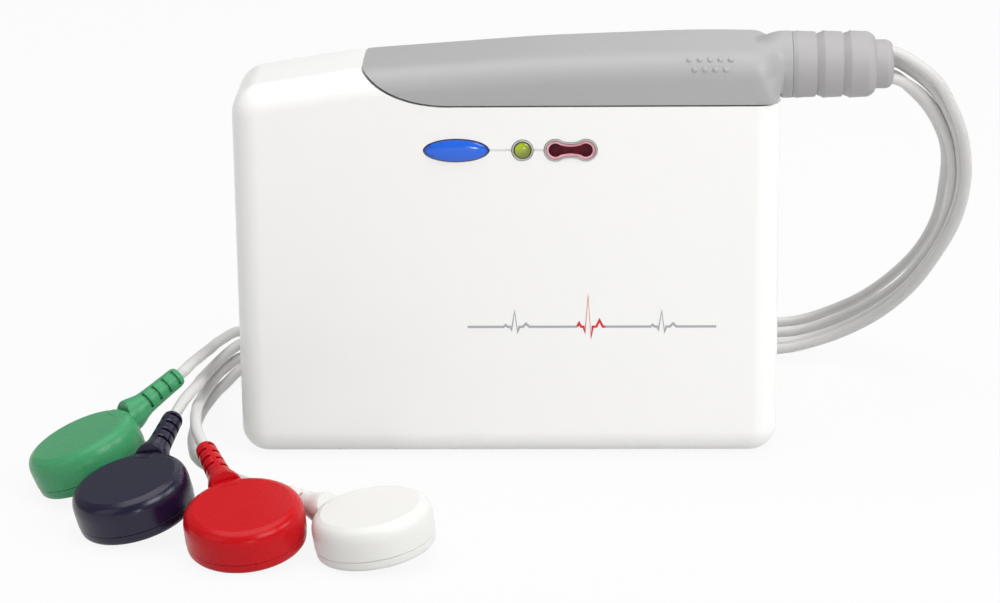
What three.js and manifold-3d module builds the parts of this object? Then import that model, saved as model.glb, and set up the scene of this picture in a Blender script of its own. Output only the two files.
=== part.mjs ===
// Pocket heart recorder (holter monitor) with its plug-in cable of four snap leads.
// Millimetres, +Z up. The case stands on its foot, its face looks along -Y and the cable leaves to +X.
// The origin is under the middle of the case, plug and strain relief, at the foot.
import * as THREE from 'three';
import { mergeVertices } from 'three/addons/utils/BufferGeometryUtils.js';
import Module from 'manifold-3d';

const wasm = await Module();
wasm.setup();

// Driving dimensions of the case
const caseWidth = 96;
const caseDepth = 23;
const crownHeight = 73.9;
const crownPlace = 82;
const rightDrop = 0.3;
const midDrop = 1;
const midPlace = 54;
const shoulderDrop = 3.3;
const shoulderPlace = 21.5;
const leftDrop = 6.7;
const crownRound = 200;
const shoulderRound = 100;
const footCornerRadius = 4.8;
const topCornerRadius = 5.2;
const plugCornerRadius = 3;
const edgeRound = 4.6;
const wall = 2;
const rearShellDepth = 9;
const fitGap = 0.3;
const overlap = 0.2;
const rootDepth = 0.5;
const seatGap = 0.1;
const cutReach = 5;
const leastCorner = 0.2;
const arcSteps = 4;

// Bay in the top of the case that the plug fills, measured down from the crown
const bayFloorDrop = 9.3;
const bayTipPlace = 22.1;
const bayTipDrop = 2.7;
const bayCurvePlace = 28;
const bayFloorPlace = 38;
const bayFloorThickness = 5;

// Controls in a row on the face, measured from the left side and down from the board's top
const controlDrop = 2.3;
const buttonPlace = 39.4;
const buttonLength = 11.4;
const buttonHeight = 4.0;
const buttonProud = 0.8;
const buttonTravel = 0.6;
const buttonFlange = 0.8;
const ovalEndReach = 0.95;
const ovalEndRise = 0.5;
const ovalFlankReach = 0.55;
const buttonFlangeThickness = 0.8;
const buttonStemRadius = 1.6;
const buttonDrawLength = 0.9;
const buttonDrawHeight = 0.8;
const lensPlace = 50.95;
const lensDiameter = 2.9;
const lensProud = 0.45;
const bezelDiameter = 3.7;
const bezelProud = 0.25;
const bezelInnerRise = 0.4;
const bezelOuterRise = 0.3;
const windowPlace = 59.35;
const windowLength = 9.2;
const windowLobeHeight = 3.9;
const windowWaistHeight = 2.7;
const windowRimWidth = 0.35;
const windowProud = 0.2;
const windowDepth = 0.6;
const lobeOpening = 0.9;
const grooveWidth = 0.4;
const grooveDepth = 0.3;

// Circuit board and what it carries
const boardThickness = 1.6;
const boardPostGap = 0.7;
const boardFloorGap = 0.4;
const boardTrayGap = 2.6;
const boardSetback = 6.7;
const switchBody = 5.2;
const switchDepth = 2;
const switchPinRadius = 1;
const switchPinDepth = 0.5;
const lampRadius = 1.3;
const lampRound = 0.5;
const lampDepth = 2.1;
const infraredLength = 7;
const infraredHeight = 2.6;
const infraredDepth = 1.7;
const infraredLensRadius = 0.9;
const infraredLensProud = 0.4;
const controllerSide = 12;
const controllerPlace = 0.5;
const controllerThickness = 1.4;
const memoryLength = 9;
const memoryHeight = 7;
const memoryPlace = 0.74;
const memoryThickness = 1;
const amplifierLength = 10;
const amplifierHeight = 8;
const amplifierPlace = 0.25;
const amplifierThickness = 1.8;

// Battery, one AA cell lying along X behind the board's foot
const cellDiameter = 14.5;
const cellLength = 50.5;
const cellNubDiameter = 5.5;
const cellNubLength = 1;
const cellNubBevel = 0.2;
const cellSeamRadius = 0.6;
const trayWall = 1.2;
const trayPlace = 9.5;
const trayFoot = 4.4;
const springLength = 5.4;
const springTurns = 3.5;
const springWire = 0.7;
const springCoilRadius = 3.4;
const springTaper = 0.35;
const springSides = 5;
const springSteps = 32;
const contactThickness = 0.5;
const contactSide = 9;
const doorThickness = 2;
const doorNotchRadius = 4;
const doorNotchDepth = 0.8;

// Screws and their posts
const screwHeadRadius = 2.3;
const screwHeadHeight = 1.5;
const screwShankRadius = 1.1;
const screwTipRadius = 0.7;
const screwTipLength = 1;
const screwHeadBevel = 0.4;
const screwShankLength = 13;
const screwSlotWidth = 0.7;
const screwSlotLength = 2.2;
const screwSlotDepth = 0.6;
const screwRecess = 0.8;
const screwBore = 1.4;
const postRadius = 3.2;
const postSideInset = 5.6;
const postFootInset = 8;
const postTopDrop = 7;

// Plug
const plugWall = 2.2;
const plugCavityPlace = 46;
const plugCavityEnd = 11;
const plugCavityDrop = 3.7;
const plugBaseThickness = 1.6;
const railPlace = 68;
const railLength = 14;
const railNeck = 3;
const railHead = 6;
const railNeckHeight = 1.9;
const railHeadHeight = 1.5;
const plugTravel = 5;
const contactStripPlace = 48;
const contactStripLength = 16;
const contactStripWidth = 8;
const plugBoardMargin = 1.5;
const plugBoardThickness = 1.2;
const gripUpperPlace = 79.9;
const gripUpperDrop = 2.75;
const gripLowerPlace = 80.8;
const gripLowerDrop = 4.55;
const gripPitch = 1.8;
const gripRadius = 0.5;
const gripProud = 0.2;
const crownSag = 0.05;
const bayCorner = 1.9;
const gripRoot = 0.6;
const gripShoulder = 0.6;
const gripShoulderRise = 0.8;
const socketLedge = 1.2;
const socketDepth = 4.4;
const fingerCount = 6;
const fingerWidth = 1.2;
const fingerLength = 6;
const fingerThickness = 0.3;

// Plug neck and strain relief, lathed about the cable's axis
const cableDrop = 4.65;
const neckStartRadius = 4.3;
const neckReach = 9;
const neckLength = 2.2;
const reliefRadius = 5.9;
const reliefStep = 4.65;
const reliefBandCount = 3;
const reliefTaper = 0.25;
const reliefGroove = 0.6;
const reliefGrooveDepth = 0.7;
const reliefEndLength = 0.8;
const reliefEndBevel = 0.7;
const reliefRound = 0.2;
const grooveSlope = 0.1;
const neckBevel = 0.5;
const noseRadius = 4.3;
const noseLength = 2.7;
const noseRound = 0.7;
const spigotRadius = 3;
const spigotLength = 5.2;
const wireWayRadius = 2;

// Leads and snap heads
const leadDiameter = 2;
const leadSpreadAcross = 2.3;
const leadSpreadUp = 4.8;
const redLeadLevel = 0.1;
const leadStart = 1.2;
const leadMostSteps = 80;
const leadSides = 8;
const leadStep = 6;
const headRadius = 10;
const headHeight = 7.5;
const headTopRadius = 7.8;
const headShoulderHeight = 4.6;
const headSeamHeight = 2;
const headBaseRadius = 9;
const headUndercut = 0.5;
const socketBoreRadius = 3.5;
const snapRingRadius = 3.1;
const snapHoleRadius = 1.95;
const bootHeight = 4;
const bootPitch = 8;
const bootReach = 22;
const bootStartReach = 7.5;
const bootStartRadius = 2.2;
const bootNeckRadius = 3.1;
const bootNeckReach = 12;
const bootNeckLength = 3;
const bootRootRadius = 2.2;
const bootTipRadius = 1.7;
const bootEndBevel = 0.3;
const bootNeckBevel = 0.6;
const headSeamBevel = 0.3;
const snapRingFoot = 0.2;

// Places that follow from the driving dimensions
const reliefLength = neckLength + fitGap + reliefStep * reliefBandCount + reliefEndLength + noseLength;
const caseLeft = -(caseWidth + reliefLength) / 2;
const caseRight = caseLeft + caseWidth;
const faceY = -(caseDepth + buttonProud) / 2 + buttonProud;
const backY = faceY + caseDepth;
const midY = (faceY + backY) / 2;
const splitY = backY - rearShellDepth;
const innerFaceY = faceY + wall;
const innerBackY = backY - wall;
const bayFloorHeight = crownHeight - bayFloorDrop;
const bayTipHeight = crownHeight - bayTipDrop;
const floorBlockBottom = bayFloorHeight - bayFloorThickness;
const plugCavityHeight = crownHeight - plugCavityDrop;
const cableHeight = crownHeight - cableDrop;
const trayRoomFoot = trayFoot + trayWall;
const trayRoomTop = trayRoomFoot + cellDiameter + 2 * fitGap;
const trayTop = trayRoomTop + trayWall;
const boardLeft = caseLeft + postSideInset + postRadius + boardPostGap;
const boardRight = caseRight - postSideInset - postRadius - boardPostGap;
const boardWidth = boardRight - boardLeft;
const boardFoot = trayTop + boardTrayGap;
const boardTop = floorBlockBottom - boardFloorGap;
const boardHeight = boardTop - boardFoot;
const boardFrontY = faceY + boardSetback;
const boardBackY = boardFrontY + boardThickness;
const controlHeight = boardTop - controlDrop;
const neckEnd = caseRight + neckLength;
const noseEnd = caseLeft + caseWidth + reliefLength;
const leadRadius = leadDiameter / 2;

// Colours
const white = new THREE.Color(0xf3f3f1);
const plugGrey = new THREE.Color(0xb4b4b4);
const reliefGrey = new THREE.Color(0xaeacac);
const leadGrey = new THREE.Color(0xcfcdcb);
const boardGreen = new THREE.Color(0x1f6b45);
const chipBlack = new THREE.Color(0x1d1d20);
const steel = new THREE.Color(0xb9bbbe);
const headColours = { green: 0x4fa372, black: 0x2c2b33, red: 0xc8141f, white: 0xf1f1ee };

function finish(colour, roughness, metalness = 0) {
  return new THREE.MeshStandardMaterial({ color: colour, roughness, metalness });
}

// Geometry helpers

// Indexed copy with shared corners, no collapsed triangles and its faces pointing out.
function closed(geometry) {
  const bare = geometry.clone();
  bare.deleteAttribute('normal');
  bare.deleteAttribute('uv');
  const merged = mergeVertices(bare, 1e-4);
  const corners = merged.attributes.position.array;
  const kept = [];
  let volume = 0;
  const index = merged.index.array;
  for (let i = 0; i < index.length; i += 3) {
    const [a, b, c] = [index[i], index[i + 1], index[i + 2]];
    if (a === b || b === c || a === c) continue;
    kept.push(a, b, c);
    const p = new THREE.Vector3().fromArray(corners, 3 * a);
    const q = new THREE.Vector3().fromArray(corners, 3 * b);
    const r = new THREE.Vector3().fromArray(corners, 3 * c);
    volume += p.dot(q.cross(r)) / 6;
  }
  if (volume < 0) {
    for (let i = 0; i < kept.length; i += 3) [kept[i], kept[i + 1]] = [kept[i + 1], kept[i]];
  }
  merged.setIndex(kept);
  return merged;
}

function toSolid(geometry) {
  const body = closed(geometry);
  const mesh = new wasm.Mesh({
    numProp: 3,
    vertProperties: new Float32Array(body.attributes.position.array),
    triVerts: new Uint32Array(body.index.array),
  });
  mesh.merge();
  return new wasm.Manifold(mesh);
}

function toGeometry(solid) {
  const mesh = solid.getMesh();
  const geometry = new THREE.BufferGeometry();
  geometry.setAttribute('position', new THREE.BufferAttribute(new Float32Array(mesh.vertProperties), 3));
  geometry.setIndex(Array.from(mesh.triVerts));
  geometry.computeVertexNormals();
  return geometry;
}

// Outline in X and Z with rounded corners, drawn in by an inset. Every inset has as many points.
function roundedOutline(corners, inset) {
  const count = corners.length;
  const moved = corners.map((corner, i) => {
    const before = corners[(i + count - 1) % count];
    const after = corners[(i + 1) % count];
    const into = new THREE.Vector2(corner.x - before.x, corner.z - before.z).normalize();
    const out = new THREE.Vector2(after.x - corner.x, after.z - corner.z).normalize();
    const normalIn = new THREE.Vector2(-into.y, into.x);
    const normalOut = new THREE.Vector2(-out.y, out.x);
    const shift = normalIn.clone().add(normalOut);
    shift.multiplyScalar(inset / (1 + normalIn.dot(normalOut)));
    const r = Math.max(corner.r - inset, leastCorner);
    return { x: corner.x + shift.x, z: corner.z + shift.y, r, into, out, n: corner.n };
  });
  const points = [];
  for (const corner of moved) {
    const turn = Math.atan2(corner.into.cross(corner.out), corner.into.dot(corner.out));
    const reach = corner.r * Math.tan(turn / 2);
    const startX = corner.x - corner.into.x * reach;
    const startZ = corner.z - corner.into.y * reach;
    const centreX = startX - corner.into.y * corner.r;
    const centreZ = startZ + corner.into.x * corner.r;
    const first = Math.atan2(startZ - centreZ, startX - centreX);
    for (let k = 0; k <= corner.n; k += 1) {
      const angle = first + (turn * k) / corner.n;
      points.push([centreX + corner.r * Math.cos(angle), centreZ + corner.r * Math.sin(angle)]);
    }
  }
  return points;
}

// Solid pillow: the outline between two depths, its front and back edges rounded.
function pillow(corners, frontY, rearY, round) {
  const rings = [];
  for (let k = arcSteps; k >= 0; k -= 1) {
    const angle = (Math.PI / 2) * (k / arcSteps);
    rings.push({ y: frontY + round * (1 - Math.sin(angle)), inset: round * (1 - Math.cos(angle)) });
  }
  for (let k = 0; k <= arcSteps; k += 1) {
    const angle = (Math.PI / 2) * (k / arcSteps);
    rings.push({ y: rearY - round * (1 - Math.sin(angle)), inset: round * (1 - Math.cos(angle)) });
  }
  const positions = [];
  const index = [];
  let size = 0;
  for (const ring of rings) {
    const outline = roundedOutline(corners, ring.inset);
    size = outline.length;
    for (const [x, z] of outline) positions.push(x, ring.y, z);
  }
  for (let ring = 0; ring < rings.length - 1; ring += 1) {
    for (let i = 0; i < size; i += 1) {
      const next = (i + 1) % size;
      const a = ring * size + i;
      const b = ring * size + next;
      index.push(a, a + size, b + size, a, b + size, b);
    }
  }
  const last = (rings.length - 1) * size;
  for (let i = 1; i < size - 1; i += 1) {
    index.push(0, i, i + 1);
    index.push(last, last + i + 1, last + i);
  }
  const geometry = new THREE.BufferGeometry();
  geometry.setAttribute('position', new THREE.Float32BufferAttribute(positions, 3));
  geometry.setIndex(index);
  return geometry;
}

function box(x0, x1, y0, y1, z0, z1) {
  const geometry = new THREE.BoxGeometry(x1 - x0, y1 - y0, z1 - z0);
  geometry.translate((x0 + x1) / 2, (y0 + y1) / 2, (z0 + z1) / 2);
  return geometry;
}

// Prism of a shape drawn in X and Z, between two depths.
function prism(shape, y0, y1, curveSegments = 8) {
  const geometry = new THREE.ExtrudeGeometry(shape, { depth: y1 - y0, bevelEnabled: false, curveSegments });
  geometry.rotateX(Math.PI / 2);
  geometry.translate(0, y1, 0);
  return geometry;
}

// Lathed solid about an axis along X, Y or Z, from [radius, place along the axis] pairs.
function lathe(profile, axis, segments) {
  const geometry = new THREE.LatheGeometry(profile.map(([r, a]) => new THREE.Vector2(r, a)), segments);
  if (axis === 'x') geometry.rotateZ(-Math.PI / 2);
  if (axis === 'z') geometry.rotateX(Math.PI / 2);
  return geometry;
}

// Oval with slightly drawn-out ends, about a centre.
function oval(x, z, length, height) {
  const shape = new THREE.Shape();
  const reach = length / 2;
  const bulge = height / 2;
  const end = reach * ovalEndReach;
  const rise = bulge * ovalEndRise;
  const flank = reach * ovalFlankReach;
  shape.moveTo(x - reach, z);
  shape.bezierCurveTo(x - end, z - rise, x - flank, z - bulge, x, z - bulge);
  shape.bezierCurveTo(x + flank, z - bulge, x + end, z - rise, x + reach, z);
  shape.bezierCurveTo(x + end, z + rise, x + flank, z + bulge, x, z + bulge);
  shape.bezierCurveTo(x - flank, z + bulge, x - end, z + rise, x - reach, z);
  return shape;
}

// Dumbbell: two round lobes joined by a waist that curves in, all drawn in or out by a margin.
function dumbbell(x, z, margin) {
  const lobe = windowLobeHeight / 2 + margin;
  const waist = windowWaistHeight / 2 + margin;
  const lobePlace = windowLength / 2 - windowLobeHeight / 2;
  const shape = new THREE.Shape();
  const edgeX = lobePlace - lobe * Math.sin(Math.PI / 2 - lobeOpening);
  const edgeZ = lobe * Math.cos(Math.PI / 2 - lobeOpening);
  shape.moveTo(x - edgeX, z - edgeZ);
  shape.quadraticCurveTo(x, z - 2 * waist + edgeZ, x + edgeX, z - edgeZ);
  shape.absarc(x + lobePlace, z, lobe, -Math.PI + lobeOpening, Math.PI - lobeOpening, false);
  shape.quadraticCurveTo(x, z + 2 * waist - edgeZ, x - edgeX, z + edgeZ);
  shape.absarc(x - lobePlace, z, lobe, lobeOpening, -lobeOpening, false);
  return shape;
}

const model = new THREE.Group();

function add(name, geometry, material, parent = model) {
  const mesh = new THREE.Mesh(geometry, material);
  mesh.name = name;
  parent.add(mesh);
  return mesh;
}

// Case: one pillow, cut into shells and plug

const caseCorners = [
  { x: caseLeft, z: 0, r: footCornerRadius, n: 4 },
  { x: caseRight, z: 0, r: footCornerRadius, n: 4 },
  { x: caseRight, z: crownHeight - rightDrop, r: plugCornerRadius, n: 3 },
  { x: caseLeft + crownPlace, z: crownHeight, r: crownRound, n: 2 },
  { x: caseLeft + midPlace, z: crownHeight - midDrop, r: crownRound, n: 1 },
  { x: caseLeft + shoulderPlace, z: crownHeight - shoulderDrop, r: shoulderRound, n: 2 },
  { x: caseLeft, z: crownHeight - leftDrop, r: topCornerRadius, n: 4 },
];

// The region over the bay's floor and curved tip, moved right and up by a gap.
function baySide(gap, rightEnd, cornerRound) {
  const beyond = 20;
  const tipX = caseLeft + bayTipPlace + gap;
  const tipZ = bayTipHeight + gap;
  const curveX = caseLeft + bayCurvePlace + gap;
  const floorZ = bayFloorHeight + gap;
  const slope = (tipX - curveX) / (tipZ - floorZ);
  const shape = new THREE.Shape();
  shape.moveTo(tipX + slope * beyond, tipZ + beyond);
  shape.lineTo(tipX, tipZ);
  shape.quadraticCurveTo(curveX, floorZ, caseLeft + bayFloorPlace + gap, floorZ);
  shape.lineTo(rightEnd - cornerRound, floorZ);
  if (cornerRound > 0) shape.quadraticCurveTo(rightEnd, floorZ, rightEnd, floorZ + cornerRound);
  shape.lineTo(rightEnd, tipZ + beyond);
  return shape;
}

const pastDepth = 5;
const pastWidth = 30;
const wholeBody = toSolid(pillow(caseCorners, faceY, backY, edgeRound));
const bayCut = toSolid(prism(baySide(0, caseRight + pastWidth, 0), faceY - pastDepth, backY + pastDepth, 10));

// Hollow of the case, under the bay's floor and up into the left corner
const innerRound = edgeRound - wall;
const innerCorner = footCornerRadius - wall;
const roomCorners = [
  { x: caseLeft + wall, z: wall, r: innerCorner, n: 3 },
  { x: caseRight - wall, z: wall, r: innerCorner, n: 3 },
  { x: caseRight - wall, z: bayFloorHeight - wall, r: 1, n: 1 },
  { x: caseLeft + wall, z: bayFloorHeight - wall, r: 1, n: 1 },
];
const room = toSolid(pillow(roomCorners, innerFaceY, innerBackY, innerRound));

const railStart = caseLeft + railPlace;
const railEnd = railStart + railLength;
const slotEnd = railEnd + plugTravel + fitGap;
const slotHeadTop = bayFloorHeight + fitGap - railNeckHeight + fitGap;
const slotHeadBottom = bayFloorHeight + fitGap - railNeckHeight - railHeadHeight - fitGap;
const floorBlock = toSolid(box(railStart - wall - fitGap, caseRight - wall / 2, midY - railHead / 2 - wall,
  midY + railHead / 2 + wall, floorBlockBottom, bayFloorHeight - wall / 2));
const railSlotNeck = toSolid(box(railStart - fitGap, slotEnd, midY - railNeck / 2 - fitGap,
  midY + railNeck / 2 + fitGap, slotHeadBottom, bayFloorHeight + 1));
const railSlotHead = toSolid(box(railStart - fitGap, slotEnd, midY - railHead / 2 - fitGap,
  midY + railHead / 2 + fitGap, slotHeadBottom, slotHeadTop));

const stripLeft = caseLeft + contactStripPlace;
const stripRight = stripLeft + contactStripLength;
const stripHalf = contactStripWidth / 2;
const socketPocket = toSolid(box(stripLeft - fitGap, stripRight + fitGap, midY - stripHalf - fitGap,
  midY + stripHalf + fitGap, bayFloorHeight - wall - 1, bayFloorHeight + 1));

// Posts and their screws
const postPlaces = [
  [caseLeft + postSideInset, postFootInset],
  [caseRight - postSideInset, postFootInset],
  [caseRight - postSideInset, bayFloorHeight - postTopDrop],
  [caseLeft + postSideInset, bayFloorHeight - postTopDrop],
];

function along(y0, y1, radius, x, z, segments = 12) {
  const geometry = lathe([[0, y0], [radius, y0], [radius, y1], [0, y1]], 'y', segments);
  geometry.translate(x, 0, z);
  return toSolid(geometry);
}

const screwSeatY = backY - screwRecess - screwHeadHeight;
const screwTipY = screwSeatY - screwShankLength;

let body = wholeBody.subtract(bayCut).subtract(room);
body = body.add(floorBlock).subtract(railSlotNeck).subtract(railSlotHead).subtract(socketPocket);
for (const [x, z] of postPlaces) {
  body = body.add(along(innerFaceY - rootDepth, innerBackY + rootDepth, postRadius, x, z));
  body = body.subtract(along(screwTipY - fitGap, backY, screwBore, x, z));
  body = body.subtract(along(screwSeatY - fitGap, backY + 1, screwHeadRadius + fitGap, x, z));
}

// Standoffs that carry the board
const standoffInset = 4;
const standoffRadius = 2;
for (const x of [boardLeft + standoffInset, boardRight - standoffInset]) {
  for (const z of [boardFoot + standoffInset, boardTop - standoffInset * 2]) {
    body = body.add(along(innerFaceY - rootDepth, boardFrontY, standoffRadius, x, z, 8));
  }
}

// Openings and the groove in the face
const buttonX = caseLeft + buttonPlace;
const lensX = caseLeft + lensPlace;
const windowX = caseLeft + windowPlace;
const through = [faceY - 1, innerFaceY + 1];
body = body.subtract(toSolid(prism(oval(buttonX, controlHeight, buttonLength + 2 * fitGap,
  buttonHeight + 2 * fitGap), ...through, 6)));
body = body.subtract(along(...through, bezelDiameter / 2 + seatGap, lensX, controlHeight, 24));
body = body.subtract(toSolid(prism(dumbbell(windowX, controlHeight, seatGap), ...through, 8)));
const grooveRuns = [
  [buttonX + buttonLength / 2 - overlap, lensX - bezelDiameter / 2 + overlap],
  [lensX + bezelDiameter / 2 - overlap, windowX - windowLength / 2 + 2 * overlap],
];
for (const [x0, x1] of grooveRuns) {
  const low = controlHeight - grooveWidth / 2;
  body = body.subtract(toSolid(box(x0, x1, faceY - 1, faceY + grooveDepth, low, low + grooveWidth)));
}

// Battery opening in the back
const trayLeft = caseLeft + trayPlace;
const trayRoomLeft = trayLeft + trayWall;
const trayRoomLength = cellLength + springLength + 3 * contactThickness + 4 * fitGap;
const trayRoomRight = trayRoomLeft + trayRoomLength;
const trayRight = trayRoomRight + trayWall;
body = body.subtract(toSolid(box(trayRoomLeft, trayRoomRight, innerBackY - 1, backY + 1, trayRoomFoot,
  trayRoomTop)));

const frontHalf = toSolid(box(caseLeft - cutReach, caseRight + cutReach, faceY - cutReach, splitY, -cutReach,
  crownHeight + cutReach));
const frontShell = body.intersect(frontHalf);
const rearShell = body.subtract(frontHalf);
const shellFinish = finish(white, 0.35);
add('front_shell', toGeometry(frontShell), shellFinish.clone());
add('rear_shell', toGeometry(rearShell), shellFinish.clone());

for (const [i, [x, z]] of postPlaces.entries()) {
  const profile = [
    [0, screwTipY], [screwTipRadius, screwTipY], [screwShankRadius, screwTipY + screwTipLength],
    [screwShankRadius, screwSeatY], [screwHeadRadius, screwSeatY],
    [screwHeadRadius, screwSeatY + screwHeadHeight - screwHeadBevel],
    [screwHeadRadius - screwHeadBevel, screwSeatY + screwHeadHeight], [0, screwSeatY + screwHeadHeight],
  ];
  const slotFloor = screwSeatY + screwHeadHeight - screwSlotDepth;
  const half = screwSlotWidth / 2;
  const slotHalf = screwSlotLength / 2;
  const across = toSolid(box(-slotHalf, slotHalf, slotFloor, backY, -half, half));
  const upright = toSolid(box(-half, half, slotFloor, backY, -slotHalf, slotHalf));
  const screw = toSolid(lathe(profile, 'y', 12)).subtract(across).subtract(upright);
  const mesh = add(`case_screw_${i + 1}`, toGeometry(screw), finish(steel, 0.3, 0.9));
  mesh.position.set(x, 0, z);
}

// Battery door, battery and contacts

const doorLeft = trayRoomLeft + fitGap;
const doorRight = trayRoomRight - fitGap;
const doorFoot = trayRoomFoot + fitGap;
const doorTop = trayRoomTop - fitGap;
const doorMid = (doorFoot + doorTop) / 2;
const doorPlate = toSolid(box(doorLeft, doorRight, backY - doorThickness, backY, doorFoot, doorTop));
const thumbX = doorRight - doorNotchRadius - 2;
const thumbHollow = along(backY - doorNotchDepth, backY + 1, doorNotchRadius, thumbX, doorMid, 20);
add('battery_door', toGeometry(doorPlate.subtract(thumbHollow)), shellFinish.clone());

const cellY = backY - doorThickness - fitGap - cellDiameter / 2;
const cellZ = trayRoomFoot + fitGap + cellDiameter / 2;
const trayRoomFrontY = cellY - cellDiameter / 2 - fitGap;
const trayBackY = innerBackY - fitGap;
const trayBlock = toSolid(box(trayLeft, trayRight, trayRoomFrontY - trayWall, trayBackY, trayFoot, trayTop));
const trayRoom = toSolid(box(trayRoomLeft, trayRoomRight, trayRoomFrontY, trayBackY + 1, trayRoomFoot,
  trayRoomTop));
add('battery_tray', toGeometry(trayBlock.subtract(trayRoom)), finish(white, 0.6));

const springPlateX = trayRoomLeft + fitGap;
const cellLeft = springPlateX + contactThickness + springLength + fitGap;
const cellRight = cellLeft + cellLength;
const cellRadius = cellDiameter / 2;
const cellProfile = [
  [0, cellLeft], [cellRadius - cellSeamRadius, cellLeft], [cellRadius, cellLeft + cellSeamRadius],
  [cellRadius, cellRight - cellNubLength - cellSeamRadius],
  [cellRadius - cellSeamRadius, cellRight - cellNubLength],
  [cellNubDiameter / 2, cellRight - cellNubLength], [cellNubDiameter / 2, cellRight - cellNubBevel],
  [cellNubDiameter / 2 - cellNubBevel, cellRight], [0, cellRight],
];
add('battery', closed(lathe(cellProfile, 'x', 28)), finish(new THREE.Color(0x30343b), 0.35, 0.5))
  .position.set(0, cellY, cellZ);

// Spring contact: a coil of wire that grows out of its plate
class Coil extends THREE.Curve {
  getPoint(t, target = new THREE.Vector3()) {
    const angle = 2 * Math.PI * springTurns * t;
    const radius = springCoilRadius * (1 - springTaper * t);
    const start = contactThickness / 2;
    const reach = springLength + contactThickness / 2 - springWire / 2;
    return target.set(start + reach * t, radius * Math.cos(angle), radius * Math.sin(angle));
  }
}

function ringShape(radius, sides) {
  const shape = new THREE.Shape();
  for (let k = 0; k < sides; k += 1) {
    const angle = (2 * Math.PI * k) / sides;
    const place = [radius * Math.cos(angle), radius * Math.sin(angle)];
    if (k === 0) shape.moveTo(...place);
    else shape.lineTo(...place);
  }
  return shape;
}

const coil = new THREE.ExtrudeGeometry(ringShape(springWire / 2, springSides), {
  steps: springSteps,
  extrudePath: new Coil(),
  bevelEnabled: false,
});
const contactHalf = contactSide / 2;
const springPlate = box(0, contactThickness, -contactHalf, contactHalf, -contactHalf, contactHalf);
add('battery_spring', toGeometry(toSolid(springPlate).add(toSolid(coil))), finish(steel, 0.3, 0.9))
  .position.set(springPlateX, cellY, cellZ);
const flatContact = box(0, contactThickness, -contactHalf, contactHalf, -contactHalf, contactHalf);
add('battery_contact', closed(flatContact), finish(steel, 0.3, 0.9))
  .position.set(cellRight + fitGap, cellY, cellZ);

// Controls in the face

// Button: a domed oval over a flange that stays behind the wall, with a stem towards the switch
const switchPinTipY = boardFrontY - switchDepth - switchPinDepth;
const buttonBackY = switchPinTipY - fitGap - buttonTravel;
const flangeFrontY = innerFaceY + fitGap;
const domeSteps = 3;
let button = toSolid(prism(oval(0, 0, buttonLength, buttonHeight), faceY + seatGap, flangeFrontY + seatGap, 6));
for (let k = 0; k < domeSteps; k += 1) {
  const rise = (k + 1) / domeSteps;
  const draw = 1 - Math.sqrt(1 - (k / domeSteps) ** 2);
  const length = buttonLength - draw * buttonHeight * buttonDrawLength;
  const height = buttonHeight * (1 - draw * buttonDrawHeight);
  const front = faceY - buttonProud * rise;
  button = button.add(toSolid(prism(oval(0, 0, length, height), front, faceY + overlap, 6)));
}
button = button.add(toSolid(prism(oval(0, 0, buttonLength + 2 * buttonFlange, buttonHeight + 2 * buttonFlange),
  flangeFrontY, flangeFrontY + buttonFlangeThickness, 6)));
button = button.add(along(flangeFrontY + seatGap, buttonBackY, buttonStemRadius, 0, 0));
add('event_button', toGeometry(button), finish(new THREE.Color(0x1e63dc), 0.2))
  .position.set(buttonX, 0, controlHeight);

// Status light pipe in its ring
const lensRadius = lensDiameter / 2;
const lampTipY = boardFrontY - lampDepth;
const lensDome = [];
for (let k = 0; k <= arcSteps; k += 1) {
  const angle = (Math.PI / 2) * (k / arcSteps);
  lensDome.push([lensRadius * Math.sin(angle), faceY - lensProud * Math.cos(angle)]);
}
const lensProfile = [...lensDome, [lensRadius, lampTipY - fitGap], [0, lampTipY - fitGap]];
add('status_lens', closed(lathe(lensProfile, 'y', 20)), finish(new THREE.Color(0xa8bc28), 0.25))
  .position.set(lensX, 0, controlHeight);
const bezelOuter = bezelDiameter / 2;
const bezelInner = lensRadius + seatGap;
const bezelProfile = [
  [bezelInner, faceY - bezelProud * bezelInnerRise], [(bezelInner + bezelOuter) / 2, faceY - bezelProud],
  [bezelOuter, faceY - bezelProud * bezelOuterRise], [bezelOuter, innerFaceY], [bezelInner, innerFaceY],
  [bezelInner, faceY - bezelProud * bezelInnerRise],
];
add('status_bezel', closed(lathe(bezelProfile, 'y', 24)), finish(new THREE.Color(0x9a9b9c), 0.4))
  .position.set(lensX, 0, controlHeight);

// Infrared window in its rim
const windowMargin = -windowRimWidth - seatGap;
const windowSolid = prism(dumbbell(0, 0, windowMargin), faceY - windowProud / 2, innerFaceY + windowDepth);
add('infrared_window', closed(windowSolid), finish(new THREE.Color(0x5c2533), 0.2))
  .position.set(windowX, 0, controlHeight);
const rimOuter = toSolid(prism(dumbbell(0, 0, 0), faceY - windowProud, innerFaceY));
const rimInner = toSolid(prism(dumbbell(0, 0, -windowRimWidth), faceY - 1, innerFaceY + 1));
add('infrared_bezel', toGeometry(rimOuter.subtract(rimInner)), finish(new THREE.Color(0xb5abab), 0.35))
  .position.set(windowX, 0, controlHeight);

// Board and parts

const boardBlock = box(boardLeft, boardRight, boardFrontY, boardBackY, boardFoot, boardTop);
add('main_board', closed(boardBlock), finish(boardGreen, 0.55));

function centred(x, z, length, height, y0, y1) {
  return box(x - length / 2, x + length / 2, y0, y1, z - height / 2, z + height / 2);
}

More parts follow.
